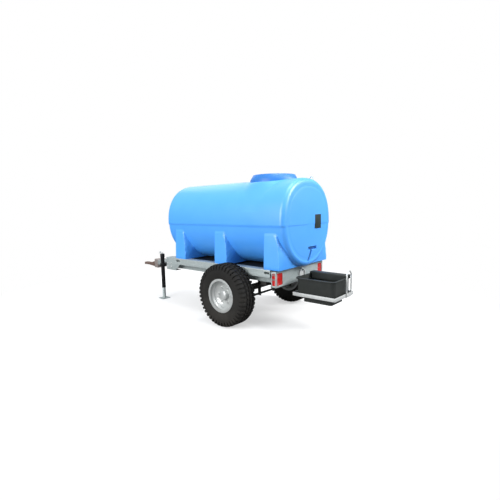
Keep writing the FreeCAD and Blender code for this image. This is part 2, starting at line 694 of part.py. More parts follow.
def make_drawbar_head():
    """The welded box that closes the rails, and the forged towing eye in front of it."""
    body = new_body("drawbar_head")
    outer = rail_face("rail_end", 1, 1)
    pad(body, outline(sketch(body, "XY", "head_bottom"), [
        ("rail_end", f"-({outer})"),
        ("head_end - head_taper", "-head_width / 2"),
        ("head_end", "-shank_width / 2"),
        ("head_end", "shank_width / 2"),
        ("head_end - head_taper", "head_width / 2"),
        ("rail_end", outer),
    ]), "head_top - head_bottom")
    eye = new_body("towing_eye", "head_end", "0", "eye_height")
    reach = "(eye_tip - head_end - eye_radius)"
    shank = outline(sketch(eye, "XZ"), [
        ("0", "-shank_height / 2 + shank_rise"),
        ("shank_front - head_end", "-eye_thick / 2"),
        (reach, "-eye_thick / 2"),
        (reach, "eye_thick / 2"),
        ("shank_front - head_end", "eye_thick / 2"),
        ("0", "shank_height / 2 + shank_rise"),
    ])
    pad(eye, shank, "shank_width", both=True)
    pad(eye, circle(sketch(eye, "XY"), reach, "0", "eye_radius"), "eye_thick", both=True)
    pocket(eye, circle(sketch(eye, "XY"), reach, "0", "eye_bore"))


def make_bumper():
    """A folded plate, open forwards, with end plates and windows for the lamps."""
    body = new_body("rear_bumper", "0", "0", "bumper_top - bumper_height")
    shell = rectangle(sketch(body, "XZ"), ("0", "bumper_deep"), ("0", "bumper_height"))
    pad(body, shell, "2 * bumper_half", both=True)
    inside = rectangle(
        sketch(body, "XZ"),
        ("bumper_wall", "bumper_deep + 1"),
        ("bumper_wall", "bumper_height - bumper_wall"),
    )
    hollow = pocket(body, inside, "2 * (bumper_half - bumper_wall)")
    hollow.Midplane = True
    low = "(lamp_bottom - bumper_top + bumper_height)"
    upright = (low, f"{low} + lamp_height")
    for sign in (1, -1):
        window = rectangle(
            sketch(body, "YZ"), span(sign, "lamp_outer - lamp_width", "lamp_outer"), upright)
        pocket(body, window, "bumper_wall", back=True)
        side = rectangle(
            sketch(body, "XZ", mirrored(sign, "-bumper_half")),
            ("side_margin", "bumper_deep - side_margin"), upright)
        pocket(body, side, "bumper_wall", back=sign > 0)


def make_lamps():
    """Corner lamps behind the bumper's windows."""
    for sign, side in ((1, "left"), (-1, "right")):
        across = span(sign, "lamp_outer - lamp_width - lamp_lap", "bumper_half - bumper_wall")
        upright = ("lamp_bottom - lamp_margin", "lamp_bottom + lamp_height + lamp_margin")
        box(f"rear_lamp_{side}", ("bumper_wall", "bumper_deep - 2 * bumper_wall"), across, upright)
        inner = "rail_middle - rail_width / 2"
        plate = span(sign, f"{inner} - bracket_wall", inner)
        upright = (RAIL_BOTTOM, BEAM_BOTTOM)
        box(f"bumper_bracket_{side}", ("bumper_wall", "bracket_front"), plate, upright)


def make_axle():
    """Square beam with a spindle at each end, and the fixed brake backplates."""
    body = new_body("axle_beam", "axle_station", "0", "tyre_radius")
    half = "axle_size / 2"
    pad(body, rectangle(sketch(body, "XZ"), (f"-{half}", half), (f"-{half}", half)),
        "2 * axle_half", both=True)
    pad(body, circle(sketch(body, "XZ"), "0", "0", "spindle_radius"),
        "wheel_track + 2 * (hub_reach - spindle_sink)", both=True)
    for sign, side in ((1, "left"), (-1, "right")):
        plate = new_body(
            f"brake_backplate_{side}", "axle_station", mirrored(sign, "axle_half"), "tyre_radius")
        disc = circle(sketch(plate, "XZ"), "0", "0", "drum_radius - backplate_inset")
        pad(plate, disc, "backplate_wall", back=sign > 0)
        pocket(plate, circle(sketch(plate, "XZ"), "0", "0", "spindle_radius + spindle_play"))


def make_springs():
    """Three stacked leaves a side, hung by their eyes under the drawbar rails."""
    for sign, side in ((1, "left"), (-1, "right")):
        bottom = "tyre_radius + axle_size / 2"
        body = new_body(f"leaf_spring_{side}", "axle_station", mirrored(sign, "rail_middle"), bottom)
        for number, share in enumerate(LEAF_SHARES):
            half = f"({share} * spring_half)"
            back = f"({SPRING_BACK} + 3 * leaf)"
            lower = f"({back} - {number} * leaf)"
            upper = f"({lower} - leaf)"
            foot = f"({back} - sqrt({lower} ^ 2 - {half} ^ 2))"
            head = f"({back} - sqrt({upper} ^ 2 - {half} ^ 2))"
            leaf = outline(sketch(body, "XZ"), [
                (f"-{half}", foot),
                (half, foot, lower),
                (half, head),
                (f"-{half}", head, f"-{upper}"),
            ])
            pad(body, leaf, "spring_width", both=True)
        seat = rectangle(
            sketch(body, "XZ"), ("-axle_size / 2", "axle_size / 2"), ("0", "3 * leaf + seat_plate"))
        pad(body, seat, "spring_width", both=True)
        rise = head
        for end in (-1, 1):
            middle = f"({end} * spring_half)"
            pad(body, circle(sketch(body, "XZ"), middle, rise, "spring_eye"), "spring_width", both=True)
            pocket(body, circle(sketch(body, "XZ"), middle, rise, "spring_pin + spindle_play"))
        for end, name in ((-1, "rear"), (1, "front")):
            station = f"axle_station + {end} * spring_half"
            hanger = new_body(
                f"spring_hanger_{name}_{side}", station, mirrored(sign, "rail_middle"), RAIL_BOTTOM)
            drop = f"({RAIL_BOTTOM} - ({bottom}) - {rise})"
            cheek = "(spring_width / 2 + spring_play + hanger_wall)"
            side_view = rectangle(
                sketch(hanger, "XZ"),
                ("-hanger_length / 2", "hanger_length / 2"),
                (f"-{drop} - spring_eye", "0"),
            )
            pad(hanger, side_view, f"2 * {cheek}", both=True)
            gap = rectangle(
                sketch(hanger, "XZ"),
                ("-hanger_length", "hanger_length"),
                (f"-{drop} - spring_eye - 1", "-hanger_wall"),
            )
            opening = pocket(hanger, gap, f"2 * ({cheek} - hanger_wall)")
            opening.Midplane = True
            pin = circle(sketch(hanger, "XZ"), "0", f"-{drop}", "spring_pin")
            pad(hanger, pin, f"2 * {cheek}", both=True)


def make_brake_linkage():
    """The cross shaft with its levers, the brackets that hold it and the rods to the brakes."""
    body = new_body("brake_cross_shaft", "shaft_station", "0", "shaft_height")
    pad(body, circle(sketch(body, "XZ"), "0", "0", "shaft_radius"), "2 * shaft_half", both=True)
    for sign, side in ((1, "left"), (-1, "right")):
        offset = mirrored(-sign, "shaft_half")
        lever = rectangle(
            sketch(body, "XZ", offset), ("-shaft_radius", "shaft_radius"), ("0", "lever_rise + lever_crown"))
        pad(body, lever, "lever_wall", back=sign < 0)
        bracket = new_body(
            f"shaft_bracket_{side}", "shaft_station", mirrored(sign, "shaft_bracket"), "shaft_height")
        top = f"({RAIL_BOTTOM} - shaft_height)"
        along = ("-shaft_plate / 2", "shaft_plate / 2")
        plate = rectangle(sketch(bracket, "XZ"), along, ("-shaft_foot", top))
        pad(bracket, plate, "hanger_wall", back=sign > 0)
        lip = rectangle(
            sketch(bracket, "XY", f"{top} - hanger_wall"),
            along,
            span(sign, "0", "rail_middle - shaft_bracket"),
        )
        pad(bracket, lip, "hanger_wall")
        pocket(bracket, circle(sketch(bracket, "XZ"), "0", "0", "shaft_radius + spindle_play"))
        arm = "(shaft_half + lever_wall)"
        reach = "(axle_station - shaft_station - axle_size / 2 - rod_gap)"
        rod = new_body(
            f"brake_rod_{side}", "shaft_station", mirrored(sign, f"{arm} + meeting_gap + brake_rod"),
            "shaft_height + lever_rise")
        run = circle(sketch(rod, "YZ", "-rod_tail"), "0", "0", "brake_rod")
        pad(rod, run, f"{reach} + rod_tail")
        drop = f"(axle_half - {arm} - meeting_gap - brake_rod)"
        cam = rectangle(
            sketch(rod, "XZ"), (f"{reach} - cam_length", reach), ("-cam_height / 2", "cam_height / 2"))
        pad(rod, cam, drop, back=sign > 0)


def make_wheels():
    """Drum with hub, rim with its dished disc, and tyre, turned about the spindle."""
    for sign, side in ((1, "left"), (-1, "right")):
        turn = Rotation(Vector(1, 0, 0), -90 * sign)
        middle = mirrored(sign, "wheel_track / 2")
        back = "(drum_inner - wheel_track / 2)"
        drum = new_body(f"brake_drum_{side}", "axle_station", middle, "tyre_radius", turn)
        spin(drum, outline(sketch(drum, "XZ"), [
            ("spindle_radius + spindle_play", f"{back} + hub_start"),
            ("hub_radius - drum_wall", f"{back} + hub_start"),
            ("hub_radius - drum_wall", "disc_offset - drum_face"),
            ("drum_radius - drum_wall", "disc_offset - drum_face"),
            ("drum_radius - drum_wall", back),
            ("drum_radius", back),
            ("drum_radius", "disc_offset"),
            ("hub_radius", "disc_offset"),
            ("hub_radius", "hub_reach - drum_wall"),
            ("hub_radius - drum_wall", "hub_reach"),
            ("0", "hub_reach"),
            ("0", "hub_reach - hub_cap"),
            ("spindle_radius + spindle_play", "hub_reach - hub_cap"),
        ]), axis="V_Axis")
        rim = new_body(f"wheel_rim_{side}", "axle_station", middle, "tyre_radius", turn)
        half = "(rim_width / 2)"
        spin(rim, outline(sketch(rim, "XZ"), [
            ("hub_radius + meeting_gap", "disc_offset"),
            ("rim_well - rim_wall - disc_edge", "disc_offset"),
            ("rim_well - rim_wall", "disc_offset - disc_edge"),
            ("rim_well - rim_wall", f"-{half} + well_inner + well_slope"),
            ("tyre_seat - 2 * rim_wall", f"-{half} + well_inner"),
            ("tyre_seat - 2 * rim_wall", f"-{half}"),
            ("rim_flange", f"-{half}"),
            ("rim_flange", f"-{half} + rim_wall"),
            ("tyre_seat - rim_wall", f"-{half} + rim_wall"),
            ("tyre_seat - rim_wall", f"-{half} + well_inner"),
            ("rim_well", f"-{half} + well_inner + well_slope"),
            ("rim_well", f"{half} - well_outer - well_slope"),
            ("tyre_seat - rim_wall", f"{half} - well_outer"),
            ("tyre_seat - rim_wall", f"{half} - rim_wall"),
            ("rim_flange", f"{half} - rim_wall"),
            ("rim_flange", half),
            ("tyre_seat - 2 * rim_wall", half),
            ("tyre_seat - 2 * rim_wall", f"{half} - well_outer"),
            ("rim_well - rim_wall", f"{half} - well_outer - well_slope"),
            ("rim_well - rim_wall", "disc_offset + disc_cone"),
            ("rim_well - disc_cone", "disc_offset + disc_wall"),
            ("hub_radius + meeting_gap", "disc_offset + disc_wall"),
        ]), axis="V_Axis")
        tyre = new_body(f"tyre_{side}", "axle_station", middle, "tyre_radius", turn)
        edge = "(tyre_width / 2)"
        bead = f"({half} - rim_wall - meeting_gap)"
        spin(tyre, outline(sketch(tyre, "XZ"), [
            ("tyre_seat", f"-{bead}"),
            ("tyre_seat", bead),
            ("tyre_bead", bead),
            ("tyre_bead + wall_foot", edge),
            ("tyre_radius - wall_head", edge, "wall_round"),
            ("tyre_radius - shoulder_drop", f"{edge} - shoulder_inset", "shoulder_round"),
            ("tyre_radius", f"{edge} - tread_inset"),
            ("tyre_radius", f"-{edge} + tread_inset"),
            ("tyre_radius - shoulder_drop", f"-{edge} + shoulder_inset"),
            ("tyre_radius - wall_head", f"-{edge}", "shoulder_round"),
            ("tyre_bead + wall_foot", f"-{edge}", "wall_round"),
            ("tyre_bead", f"-{bead}"),
        ]), axis="V_Axis")


def make_jack():
    """The parking jack: clamp, outer tube with its gear head, crank, and the sliding leg."""
    station, side = "jack_station", "jack_side"
    clamp = new_body("jack_clamp", "0", "0", "jack_bottom")
    fall = "rail_drop * (jack_station - rail_bend) / (rail_end - rail_bend)"
    rise = f"({BEAM_BOTTOM} - {fall} - jack_bottom - clamp_sink)"
    rear, front = "jack_station - clamp_length / 2", "jack_station + clamp_length / 2"
    pad(clamp, outline(sketch(clamp, "XY", rise), [
        (front, rail_face(front, 1, 1)),
        (front, "jack_side"),
        ("jack_station + clamp_nose / 2", "jack_side + jack_radius + clamp_wall"),
        ("jack_station - clamp_nose / 2", "jack_side + jack_radius + clamp_wall"),
        (rear, "jack_side"),
        (rear, rail_face(rear, 1, 1)),
    ]), "clamp_height")
    pocket(clamp, circle(sketch(clamp, "XY"), station, side, "jack_radius + meeting_gap"))
    tube = new_body("jack_tube", station, side, "jack_bottom")
    pad(tube, circle(sketch(tube, "XY"), "0", "0", "jack_radius"), "jack_top - jack_bottom")
    pad(tube, circle(sketch(tube, "XY", "jack_top - jack_bottom"), "0", "0", "jack_head"), "jack_head_rise")
    pocket(tube, circle(sketch(tube, "XY"), "0", "0", "jack_inner + spindle_play"),
           "jack_top - jack_bottom - jack_cap", back=True)
    crank = new_body("jack_crank", station, side, "jack_top + jack_head_rise")
    pad(crank, circle(sketch(crank, "XY"), "0", "0", "crank_hub"), "crank_lift + 2 * crank_radius")
    arm = rectangle(
        sketch(crank, "XY", "crank_lift"), ("0", "crank_reach"), ("-crank_radius", "crank_radius"))
    pad(crank, arm, "2 * crank_radius")
    pad(crank, circle(sketch(crank, "XY", "crank_lift"), "crank_reach", "0", "knob_radius"), "knob_length")
    leg = new_body("jack_leg", station, side, "0")
    foot = "foot_size / 2"
    pad(leg, rectangle(sketch(leg, "XY"), (f"-{foot}", foot), (f"-{foot}", foot)), "foot_wall")
    pad(leg, circle(sketch(leg, "XY"), "0", "0", "jack_inner"), "jack_bottom + jack_overlap")


def make_trough():
    """The drinking trough: ring with its ledge, hanger, loops, tub and float cover."""
    ring = new_body("trough_ring", "-trough_front - ring_length / 2", "ring_middle", "ring_bottom")
    length, width = "(ring_length / 2)", "(ring_width / 2)"
    outer = rectangle(sketch(ring, "XY"), (f"-{length}", length), (f"-{width}", width))
    pad(ring, outer, "ring_height")
    inner = rectangle(
        sketch(ring, "XY", "ring_wall"),
        (f"-{length} + ring_wall", f"{length} - ring_wall"),
        (f"-{width} + ring_wall", f"{width} - ring_wall"),
    )
    pocket(ring, inner, "ring_height", back=True)
    hole = rectangle(
        sketch(ring, "XY"),
        (f"-{length} + ring_ledge", f"{length} - ring_ledge"),
        (f"-{width} + ring_ledge", f"{width} - ring_ledge"),
    )
    pocket(ring, hole, "2 * ring_wall", back=True)
    hanger = new_body("trough_hanger", "0", "0", "ring_bottom")
    half = "(hanger_width / 2)"
    plate = rectangle(
        sketch(hanger, "YZ"), (f"-{half}", half), ("0", "front_loop - ring_bottom - hanger_sink"))
    pad(hanger, plate, "hanger_wall", back=True)
    block = rectangle(sketch(hanger, "YZ"), (f"-{half}", half), ("0", "ring_height"))
    pad(hanger, block, "trough_front", back=True)
    tub_half = f"({length} - ring_wall - tub_gap)"
    tub_side = f"({width} - ring_wall - tub_gap)"
    tub = new_body("trough_tub", "-trough_front - ring_length / 2", "ring_middle", "ring_bottom + ring_wall")
    top = "(tub_rim - ring_bottom - ring_wall)"
    low = "(ring_bottom + ring_wall - tub_bottom)"
    body_half = f"({tub_half} - tub_lip)"
    body_side = f"({tub_side} - tub_lip)"
    pad(tub, rounded(sketch(tub, "XY"), body_half, body_side, "tub_round"), top)
    pad(tub, rounded(sketch(tub, "XY", f"{top} - tub_lip"), tub_half, tub_side, "tub_round"), "tub_lip")
    foot_half, foot_side = f"({body_half} - foot_inset)", f"({body_side} - foot_inset)"
    pad(tub, rounded(sketch(tub, "XY", f"-{low}"), foot_half, foot_side, "tub_round / 2"), low)
    hollow = rounded(
        sketch(tub, "XY", "tub_wall"),
        f"({body_half} - tub_wall)", f"({body_side} - tub_wall)", "(tub_round - tub_wall)")
    pocket(tub, hollow, top, back=True)
    sump = rounded(
        sketch(tub, "XY", f"tub_wall - {low}"),
        f"({foot_half} - tub_wall)", f"({foot_side} - tub_wall)", "(tub_round / 2 - tub_wall)")
    pocket(tub, sump, f"{low} + 1", back=True)
    far = f"(ring_middle - {body_side})"
    middle = "(-trough_front - ring_length / 2)"
    cover = new_body("float_cover", middle, far, "tub_rim")
    inset = "(tub_wall + tub_round / 3)"
    lid = rectangle(sketch(cover, "XY"), (f"-{body_half}", body_half), ("0", "cover_width"))
    pad(cover, lid, "cover_rise")
    skirt = rectangle(
        sketch(cover, "XY"),
        (f"-{body_half} + {inset}", f"{body_half} - {inset}"),
        (inset, "cover_width"),
    )
    pad(cover, skirt, "cover_hang", back=True)
    loops = (("front", "-hanger_wall - loop_rod", "ring_bottom + ring_height", "front_loop"),
             ("rear", "-trough_reach + loop_rod", "ring_bottom", "rear_loop"))
    for name, station, bottom, crown in loops:
        loop = new_body(f"trough_loop_{name}", station, "0", bottom)
        rise = f"({crown} - ({bottom}))"
        outside = "(loop_width / 2)"
        inside = "(loop_width / 2 - 2 * loop_rod)"
        pad(loop, outline(sketch(loop, "YZ"), [
            (f"-{outside}", "0"),
            (outside, "0"),
            (outside, f"{rise} - {outside}"),
            (f"-{outside}", f"{rise} - {outside}", outside),
        ]), "2 * loop_rod", both=True)
        pocket(loop, outline(sketch(loop, "YZ"), [
            (f"-{inside}", "ring_height" if name == "rear" else "-1"),
            (inside, "ring_height" if name == "rear" else "-1"),
            (inside, f"{rise} - {outside}"),
            (f"-{inside}", f"{rise} - {outside}", inside),
        ]))


def main():
    """Build every piece, check it and write it out."""
    for make in (make_tank, make_collar, make_lid, make_lid_hinge, make_lifting_eye,
                 make_side_beams, make_cross_tubes, make_rails, make_drawbar_head, make_bumper,
                 make_lamps, make_axle, make_springs, make_brake_linkage, make_wheels,
                 make_jack, make_trough):
        make()
    doc.recompute()
    faults = [item.Name for item in doc.Objects if {"Invalid", "Error"} & set(item.State)]
    assert not faults, f"failed objects: {faults}"
    os.makedirs("parts", exist_ok=True)
    for piece in pieces:
        shape = piece.Shape
        assert not shape.isNull() and shape.isValid(), f"bad shape: {piece.Label}"
        assert len(shape.Solids) == 1, f"{piece.Label} has {len(shape.Solids)} solids"
        shape.exportStep(f"parts/{piece.Label}.step")
    print(f"wrote {len(pieces)} pieces")


main()
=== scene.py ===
"""Looks of a galvanised water tank trailer with a moulded tank and a drinking trough.

Every piece is in metres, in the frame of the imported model: +X forwards, +Y left, +Z up.
"""

import logging
import math
from dataclasses import dataclass, field
from enum import Enum
from typing import Sequence

import bmesh
import bpy
import numpy as np
from mathutils import Matrix, Vector


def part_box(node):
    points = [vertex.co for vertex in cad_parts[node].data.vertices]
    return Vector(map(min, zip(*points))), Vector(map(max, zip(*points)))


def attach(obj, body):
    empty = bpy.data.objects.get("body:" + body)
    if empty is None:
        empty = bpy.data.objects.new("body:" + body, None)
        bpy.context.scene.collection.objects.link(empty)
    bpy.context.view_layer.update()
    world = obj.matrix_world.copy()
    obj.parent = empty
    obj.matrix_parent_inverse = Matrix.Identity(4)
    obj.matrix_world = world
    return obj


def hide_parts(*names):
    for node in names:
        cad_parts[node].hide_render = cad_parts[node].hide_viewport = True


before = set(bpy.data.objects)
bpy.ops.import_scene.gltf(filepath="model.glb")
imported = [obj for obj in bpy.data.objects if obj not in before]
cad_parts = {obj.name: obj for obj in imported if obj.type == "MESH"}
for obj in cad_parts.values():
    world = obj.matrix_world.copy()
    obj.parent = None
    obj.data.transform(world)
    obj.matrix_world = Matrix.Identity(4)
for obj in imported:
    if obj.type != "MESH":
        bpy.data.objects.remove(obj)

LOG = logging.getLogger("trailer")
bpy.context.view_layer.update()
MERGE_DISTANCE = 1e-5
NODE_MERGE_DISTANCE = 2e-5
FLAT_ANGLE = 1.0
BEVEL_ANGLE = 50
NODE_SHARP_ANGLE = 32
BEVEL_PROFILE = 0.6

Colour = tuple[float, float, float]
Field = np.ndarray
Mesh = bpy.types.Mesh
Node = bpy.types.Node
Tree = bpy.types.NodeTree


class Body(Enum):
    """The rigid bodies that pieces ride on."""

    CHASSIS = "chassis"
    WHEEL_LEFT = "wheel_left"
    WHEEL_RIGHT = "wheel_right"
    LID = "lid"
    JACK_LEG = "jack_leg"


# --- nodes


def new_node(tree: Tree, kind: str, inputs: dict | None = None,
             **settings: object) -> Node:
    """Add a node to a tree.

    Args:
        tree: The tree.
        kind: The node's type.
        inputs: Value by the name or number of an input.
        settings: Value by the name of a setting.

    Returns:
        The new node.
    """
    node = tree.nodes.new(kind)
    for name, value in settings.items():
        setattr(node, name, value)
    for key, value in (inputs or {}).items():
        node.inputs[key].default_value = value
    return node


def mixed(tree: Tree, first: Colour, second: Colour) -> Node:
    """Add a node that mixes two colours, whose sockets 6 and 7 hold them and output 2 the result."""
    return new_node(tree, "ShaderNodeMix", {6: (*first, 1.0), 7: (*second, 1.0)}, data_type="RGBA")


def wire(tree: Tree, *pairs: tuple) -> None:
    """Link each output to its input.

    Args:
        tree: The tree that holds them.
        pairs: An output and an input each.
    """
    for start, end in pairs:
        tree.links.new(start, end)


def new_group(name: str, inputs: Sequence[tuple], outputs: Sequence[str]) -> Tree:
    """Make a shader group with a Vector input and named sockets.

    Args:
        name: The group's name.
        inputs: Name and default of each number that goes in.
        outputs: Name of each number that comes out.

    Returns:
        The empty group with its input and output nodes, named In and Out.
    """
    tree = bpy.data.node_groups.new(name, "ShaderNodeTree")
    tree.interface.new_socket("Vector", in_out="INPUT", socket_type="NodeSocketVector")
    for label, default in inputs:
        socket = tree.interface.new_socket(label, in_out="INPUT", socket_type="NodeSocketFloat")
        socket.default_value = default
    for label in outputs:
        tree.interface.new_socket(label, in_out="OUTPUT", socket_type="NodeSocketFloat")
    new_node(tree, "NodeGroupInput", name="In")
    new_node(tree, "NodeGroupOutput", name="Out")
    return tree


def grain_group() -> Tree:
    """Two scales of cloudy variation.

    Returns:
        A group with inputs Vector, Scale and Fine and outputs Mask and Height.
    """
    tree = new_group("grain", [("Scale", 20.0), ("Fine", 8.0)], ["Mask", "Height"])
    given, result = tree.nodes["In"].outputs, tree.nodes["Out"].inputs
    broad = new_node(tree, "ShaderNodeTexNoise", {"Detail": 4.0})
    fine = new_node(tree, "ShaderNodeTexNoise", {"Detail": 2.0})
    times = new_node(tree, "ShaderNodeMath", operation="MULTIPLY")
    wire(tree, (given["Vector"], broad.inputs["Vector"]), (given["Vector"], fine.inputs["Vector"]),
         (given["Scale"], broad.inputs["Scale"]), (given["Scale"], times.inputs[0]),
         (given["Fine"], times.inputs[1]), (times.outputs[0], fine.inputs["Scale"]),
         (broad.outputs["Fac"], result["Mask"]), (fine.outputs["Fac"], result["Height"]))
    return tree


def spangle_group() -> Tree:
    """Zinc flowers: cells of slightly different grey.

    Returns:
        A group with inputs Vector and Scale and the output Mask.
    """
    tree = new_group("spangle", [("Scale", 60.0)], ["Mask"])
    given, result = tree.nodes["In"].outputs, tree.nodes["Out"].inputs
    cells = new_node(tree, "ShaderNodeTexVoronoi")
    split = new_node(tree, "ShaderNodeSeparateColor")
    wire(tree, (given["Vector"], cells.inputs["Vector"]), (given["Scale"], cells.inputs["Scale"]),
         (cells.outputs["Color"], split.inputs[0]), (split.outputs[0], result["Mask"]))
    return tree


def dust_group() -> Tree:
    """Road dust that fades out upwards and breaks up with noise.

    Returns:
        A group with inputs Vector, Top and Amount and the output Mask.
    """
    tree = new_group("dust", [("Top", 0.8), ("Amount", 0.4)], ["Mask"])
    given, result = tree.nodes["In"].outputs, tree.nodes["Out"].inputs
    split = new_node(tree, "ShaderNodeSeparateXYZ")
    fade = new_node(tree, "ShaderNodeMapRange", {"To Min": 1.0, "To Max": 0.0})
    noise = new_node(tree, "ShaderNodeTexNoise", {"Scale": 9.0, "Detail": 6.0})
    both = new_node(tree, "ShaderNodeMath", operation="MULTIPLY")
    amount = new_node(tree, "ShaderNodeMath", operation="MULTIPLY")
    wire(tree, (given["Vector"], split.inputs[0]), (given["Vector"], noise.inputs["Vector"]),
         (split.outputs["Z"], fade.inputs["Value"]), (given["Top"], fade.inputs["From Max"]),
         (fade.outputs[0], both.inputs[0]), (noise.outputs["Fac"], both.inputs[1]),
         (both.outputs[0], amount.inputs[0]), (given["Amount"], amount.inputs[1]),
         (amount.outputs[0], result["Mask"]))
    return tree


GROUPS: dict[str, Tree] = {}


@dataclass(frozen=True)
class Finish:
    """A surface: its colours, its gloss and the texture that breaks them up."""

    name: str
    base: Colour
    shade: Colour
    roughness: tuple[float, float] = (0.4, 0.6)
    metallic: float = 0.0
    grain: float = 20.0
    bump: float = 0.1
    bump_size: float = 0.0006
    spangle: float = 0.0
    spangle_share: float = 0.55
    dust: float = 0.0
    dust_top: float = 0.9
    dust_colour: Colour = (0.32, 0.28, 0.23)
    coat: float = 0.0
    specular: float = 0.5

    def effect(self, tree: Tree, key: str, inputs: dict) -> Node:
        """Add a shared effect on Object coordinates.

        Args:
            tree: The material's tree.
            key: The effect's key in GROUPS.
            inputs: Value by the name of an input.

        Returns:
            The group's node.
        """
        node = new_node(tree, "ShaderNodeGroup", inputs, node_tree=GROUPS[key])
        place = new_node(tree, "ShaderNodeTexCoord")
        wire(tree, (place.outputs["Object"], node.inputs["Vector"]))
        return node

    def build(self) -> bpy.types.Material:
        """Make the material.

        Returns:
            The node material of this finish.
        """
        material = bpy.data.materials.new(self.name)
        material.use_nodes = True
        tree = material.node_tree
        shader = tree.nodes["Principled BSDF"]
        shader.inputs["Metallic"].default_value = self.metallic
        shader.inputs["Coat Weight"].default_value = self.coat
        shader.inputs["Specular IOR Level"].default_value = self.specular
        grain = self.effect(tree, "grain", {"Scale": self.grain})
        mask = grain.outputs["Mask"]
        if self.spangle:
            cells = self.effect(tree, "spangle", {"Scale": self.spangle})
            blend = new_node(tree, "ShaderNodeMix", {"Factor": self.spangle_share})
            wire(tree, (mask, blend.inputs[2]), (cells.outputs["Mask"], blend.inputs[3]))
            mask = blend.outputs[0]
        colour = mixed(tree, self.base, self.shade)
        gloss = new_node(
            tree, "ShaderNodeMapRange", {"To Min": self.roughness[0], "To Max": self.roughness[1]})
        wire(tree, (mask, colour.inputs[0]), (mask, gloss.inputs["Value"]))
        final = colour.outputs[2]
        if self.dust:
            dirt = self.effect(tree, "dust", {"Top": self.dust_top, "Amount": self.dust})
            cover = mixed(tree, self.base, self.dust_colour)
            wire(tree, (final, cover.inputs[6]), (dirt.outputs["Mask"], cover.inputs[0]))
            final = cover.outputs[2]
        bump = new_node(
            tree, "ShaderNodeBump", {"Strength": self.bump, "Distance": self.bump_size})
        wire(tree, (final, shader.inputs["Base Color"]), (gloss.outputs[0], shader.inputs["Roughness"]),
             (grain.outputs["Height"], bump.inputs["Height"]), (bump.outputs[0], shader.inputs["Normal"]))
        return material


FINISHES = {
    "tank": Finish(
        "tank_polyethylene", (0.058, 0.310, 0.84), (0.072, 0.340, 0.88), (0.36, 0.44),
        grain=6.0, bump=0.25, bump_size=0.0008, specular=0.7),
    # The collar's blue is darker than the barrel's: partly its own tone, partly painted shade on its wall.
    "collar": Finish(
        "collar_polyethylene", (0.015, 0.145, 0.46), (0.021, 0.168, 0.52), (0.4, 0.5),
        grain=8.0, bump=0.25, bump_size=0.0008),
    # Darker blue finish that paints the shade in the outlet recess.
    "outlet": Finish(
        "outlet_painted_shade", (0.006, 0.070, 0.26), (0.010, 0.090, 0.31), (0.5, 0.6), grain=12.0),
    "lid": Finish(
        "lid_polyethylene", (0.015, 0.120, 0.38), (0.022, 0.150, 0.44), (0.35, 0.5), grain=12.0),
    "tyre": Finish(
        "tyre_rubber", (0.009, 0.009, 0.009), (0.017, 0.017, 0.0165), (0.72, 0.9),
        grain=14.0, bump=0.35, bump_size=0.001, dust=0.10, dust_top=0.8, specular=0.15),
    "rim": Finish(
        "silver_paint", (0.42, 0.44, 0.435), (0.54, 0.56, 0.555), (0.30, 0.44),
        metallic=0.45, grain=18.0, dust=0.22, dust_top=0.75),
    "zinc": Finish(
        "hot_dip_zinc", (0.33, 0.385, 0.385), (0.47, 0.525, 0.525), (0.36, 0.56),
        metallic=0.35, grain=9.0, spangle=70.0, bump=0.2, dust=0.12, dust_top=1.0),
    "bright_zinc": Finish(
        "bright_zinc", (0.50, 0.515, 0.51), (0.64, 0.655, 0.65), (0.32, 0.5),
        metallic=0.35, grain=14.0, spangle=90.0, bump=0.15),
    # Black paint on the jack; on the deck sheet the black is painted shade under the barrel.
    "black": Finish(
        "black_paint", (0.008, 0.008, 0.009), (0.014, 0.014, 0.015), (0.38, 0.55),
        grain=24.0, specular=0.2),
    "head": Finish(
        "drawbar_forging", (0.20, 0.145, 0.125), (0.42, 0.39, 0.37), (0.5, 0.75),
        metallic=0.3, grain=22.0, bump=0.5, bump_size=0.0015),
    "axle": Finish(
        "chassis_black", (0.016, 0.016, 0.017), (0.034, 0.033, 0.031), (0.45, 0.7),
        grain=16.0, bump=0.3, dust=0.18, dust_top=0.7, specular=0.25),
    "forged": Finish(
        "rusted_forging", (0.085, 0.045, 0.034), (0.24, 0.175, 0.15), (0.6, 0.85),
        metallic=0.3, grain=30.0, bump=0.7, bump_size=0.002),
    "trough": Finish(
        "trough_polyethylene", (0.014, 0.017, 0.016), (0.028, 0.032, 0.031), (0.40, 0.60),
        grain=16.0, bump=0.3, dust=0.08, dust_top=0.8, specular=0.3),
    "lens": Finish(
        "red_lens", (0.40, 0.007, 0.007), (0.52, 0.014, 0.012), (0.10, 0.2), grain=40.0, coat=0.6),
    # Pale finish for the bands that paint the highlights on the lenses' side faces.
    "pale": Finish(
        "lens_painted_highlight", (0.20, 0.10, 0.10), (0.28, 0.17, 0.16), (0.12, 0.2), grain=40.0, coat=0.6),
    "label": Finish(
        "blank_label", (0.010, 0.020, 0.018), (0.018, 0.030, 0.027), (0.3, 0.45), grain=30.0),
    # Dark finish that paints the shade inside the manhole mouth.
    "dark": Finish(
        "painted_mouth_shade", (0.006, 0.008, 0.012), (0.012, 0.015, 0.02), (0.5, 0.7), grain=20.0),
}
MATERIALS: dict[str, bpy.types.Material] = {}


# --- mesh helpers


def show(thing: bpy.types.Object) -> None:
    """Put an object in the scene."""
    bpy.context.scene.collection.objects.link(thing)


def smoothed(mesh: Mesh, sharp: float) -> Mesh:
    """Shade a mesh smooth, apart from its sharp edges.

    Args:
        mesh: The mesh.
        sharp: The angle in degrees past which an edge stays sharp.

    Returns:
        The same mesh.
    """
    mesh.polygons.foreach_set("use_smooth", [True] * len(mesh.polygons))
    mesh.set_sharp_from_angle(angle=math.radians(sharp))
    return mesh


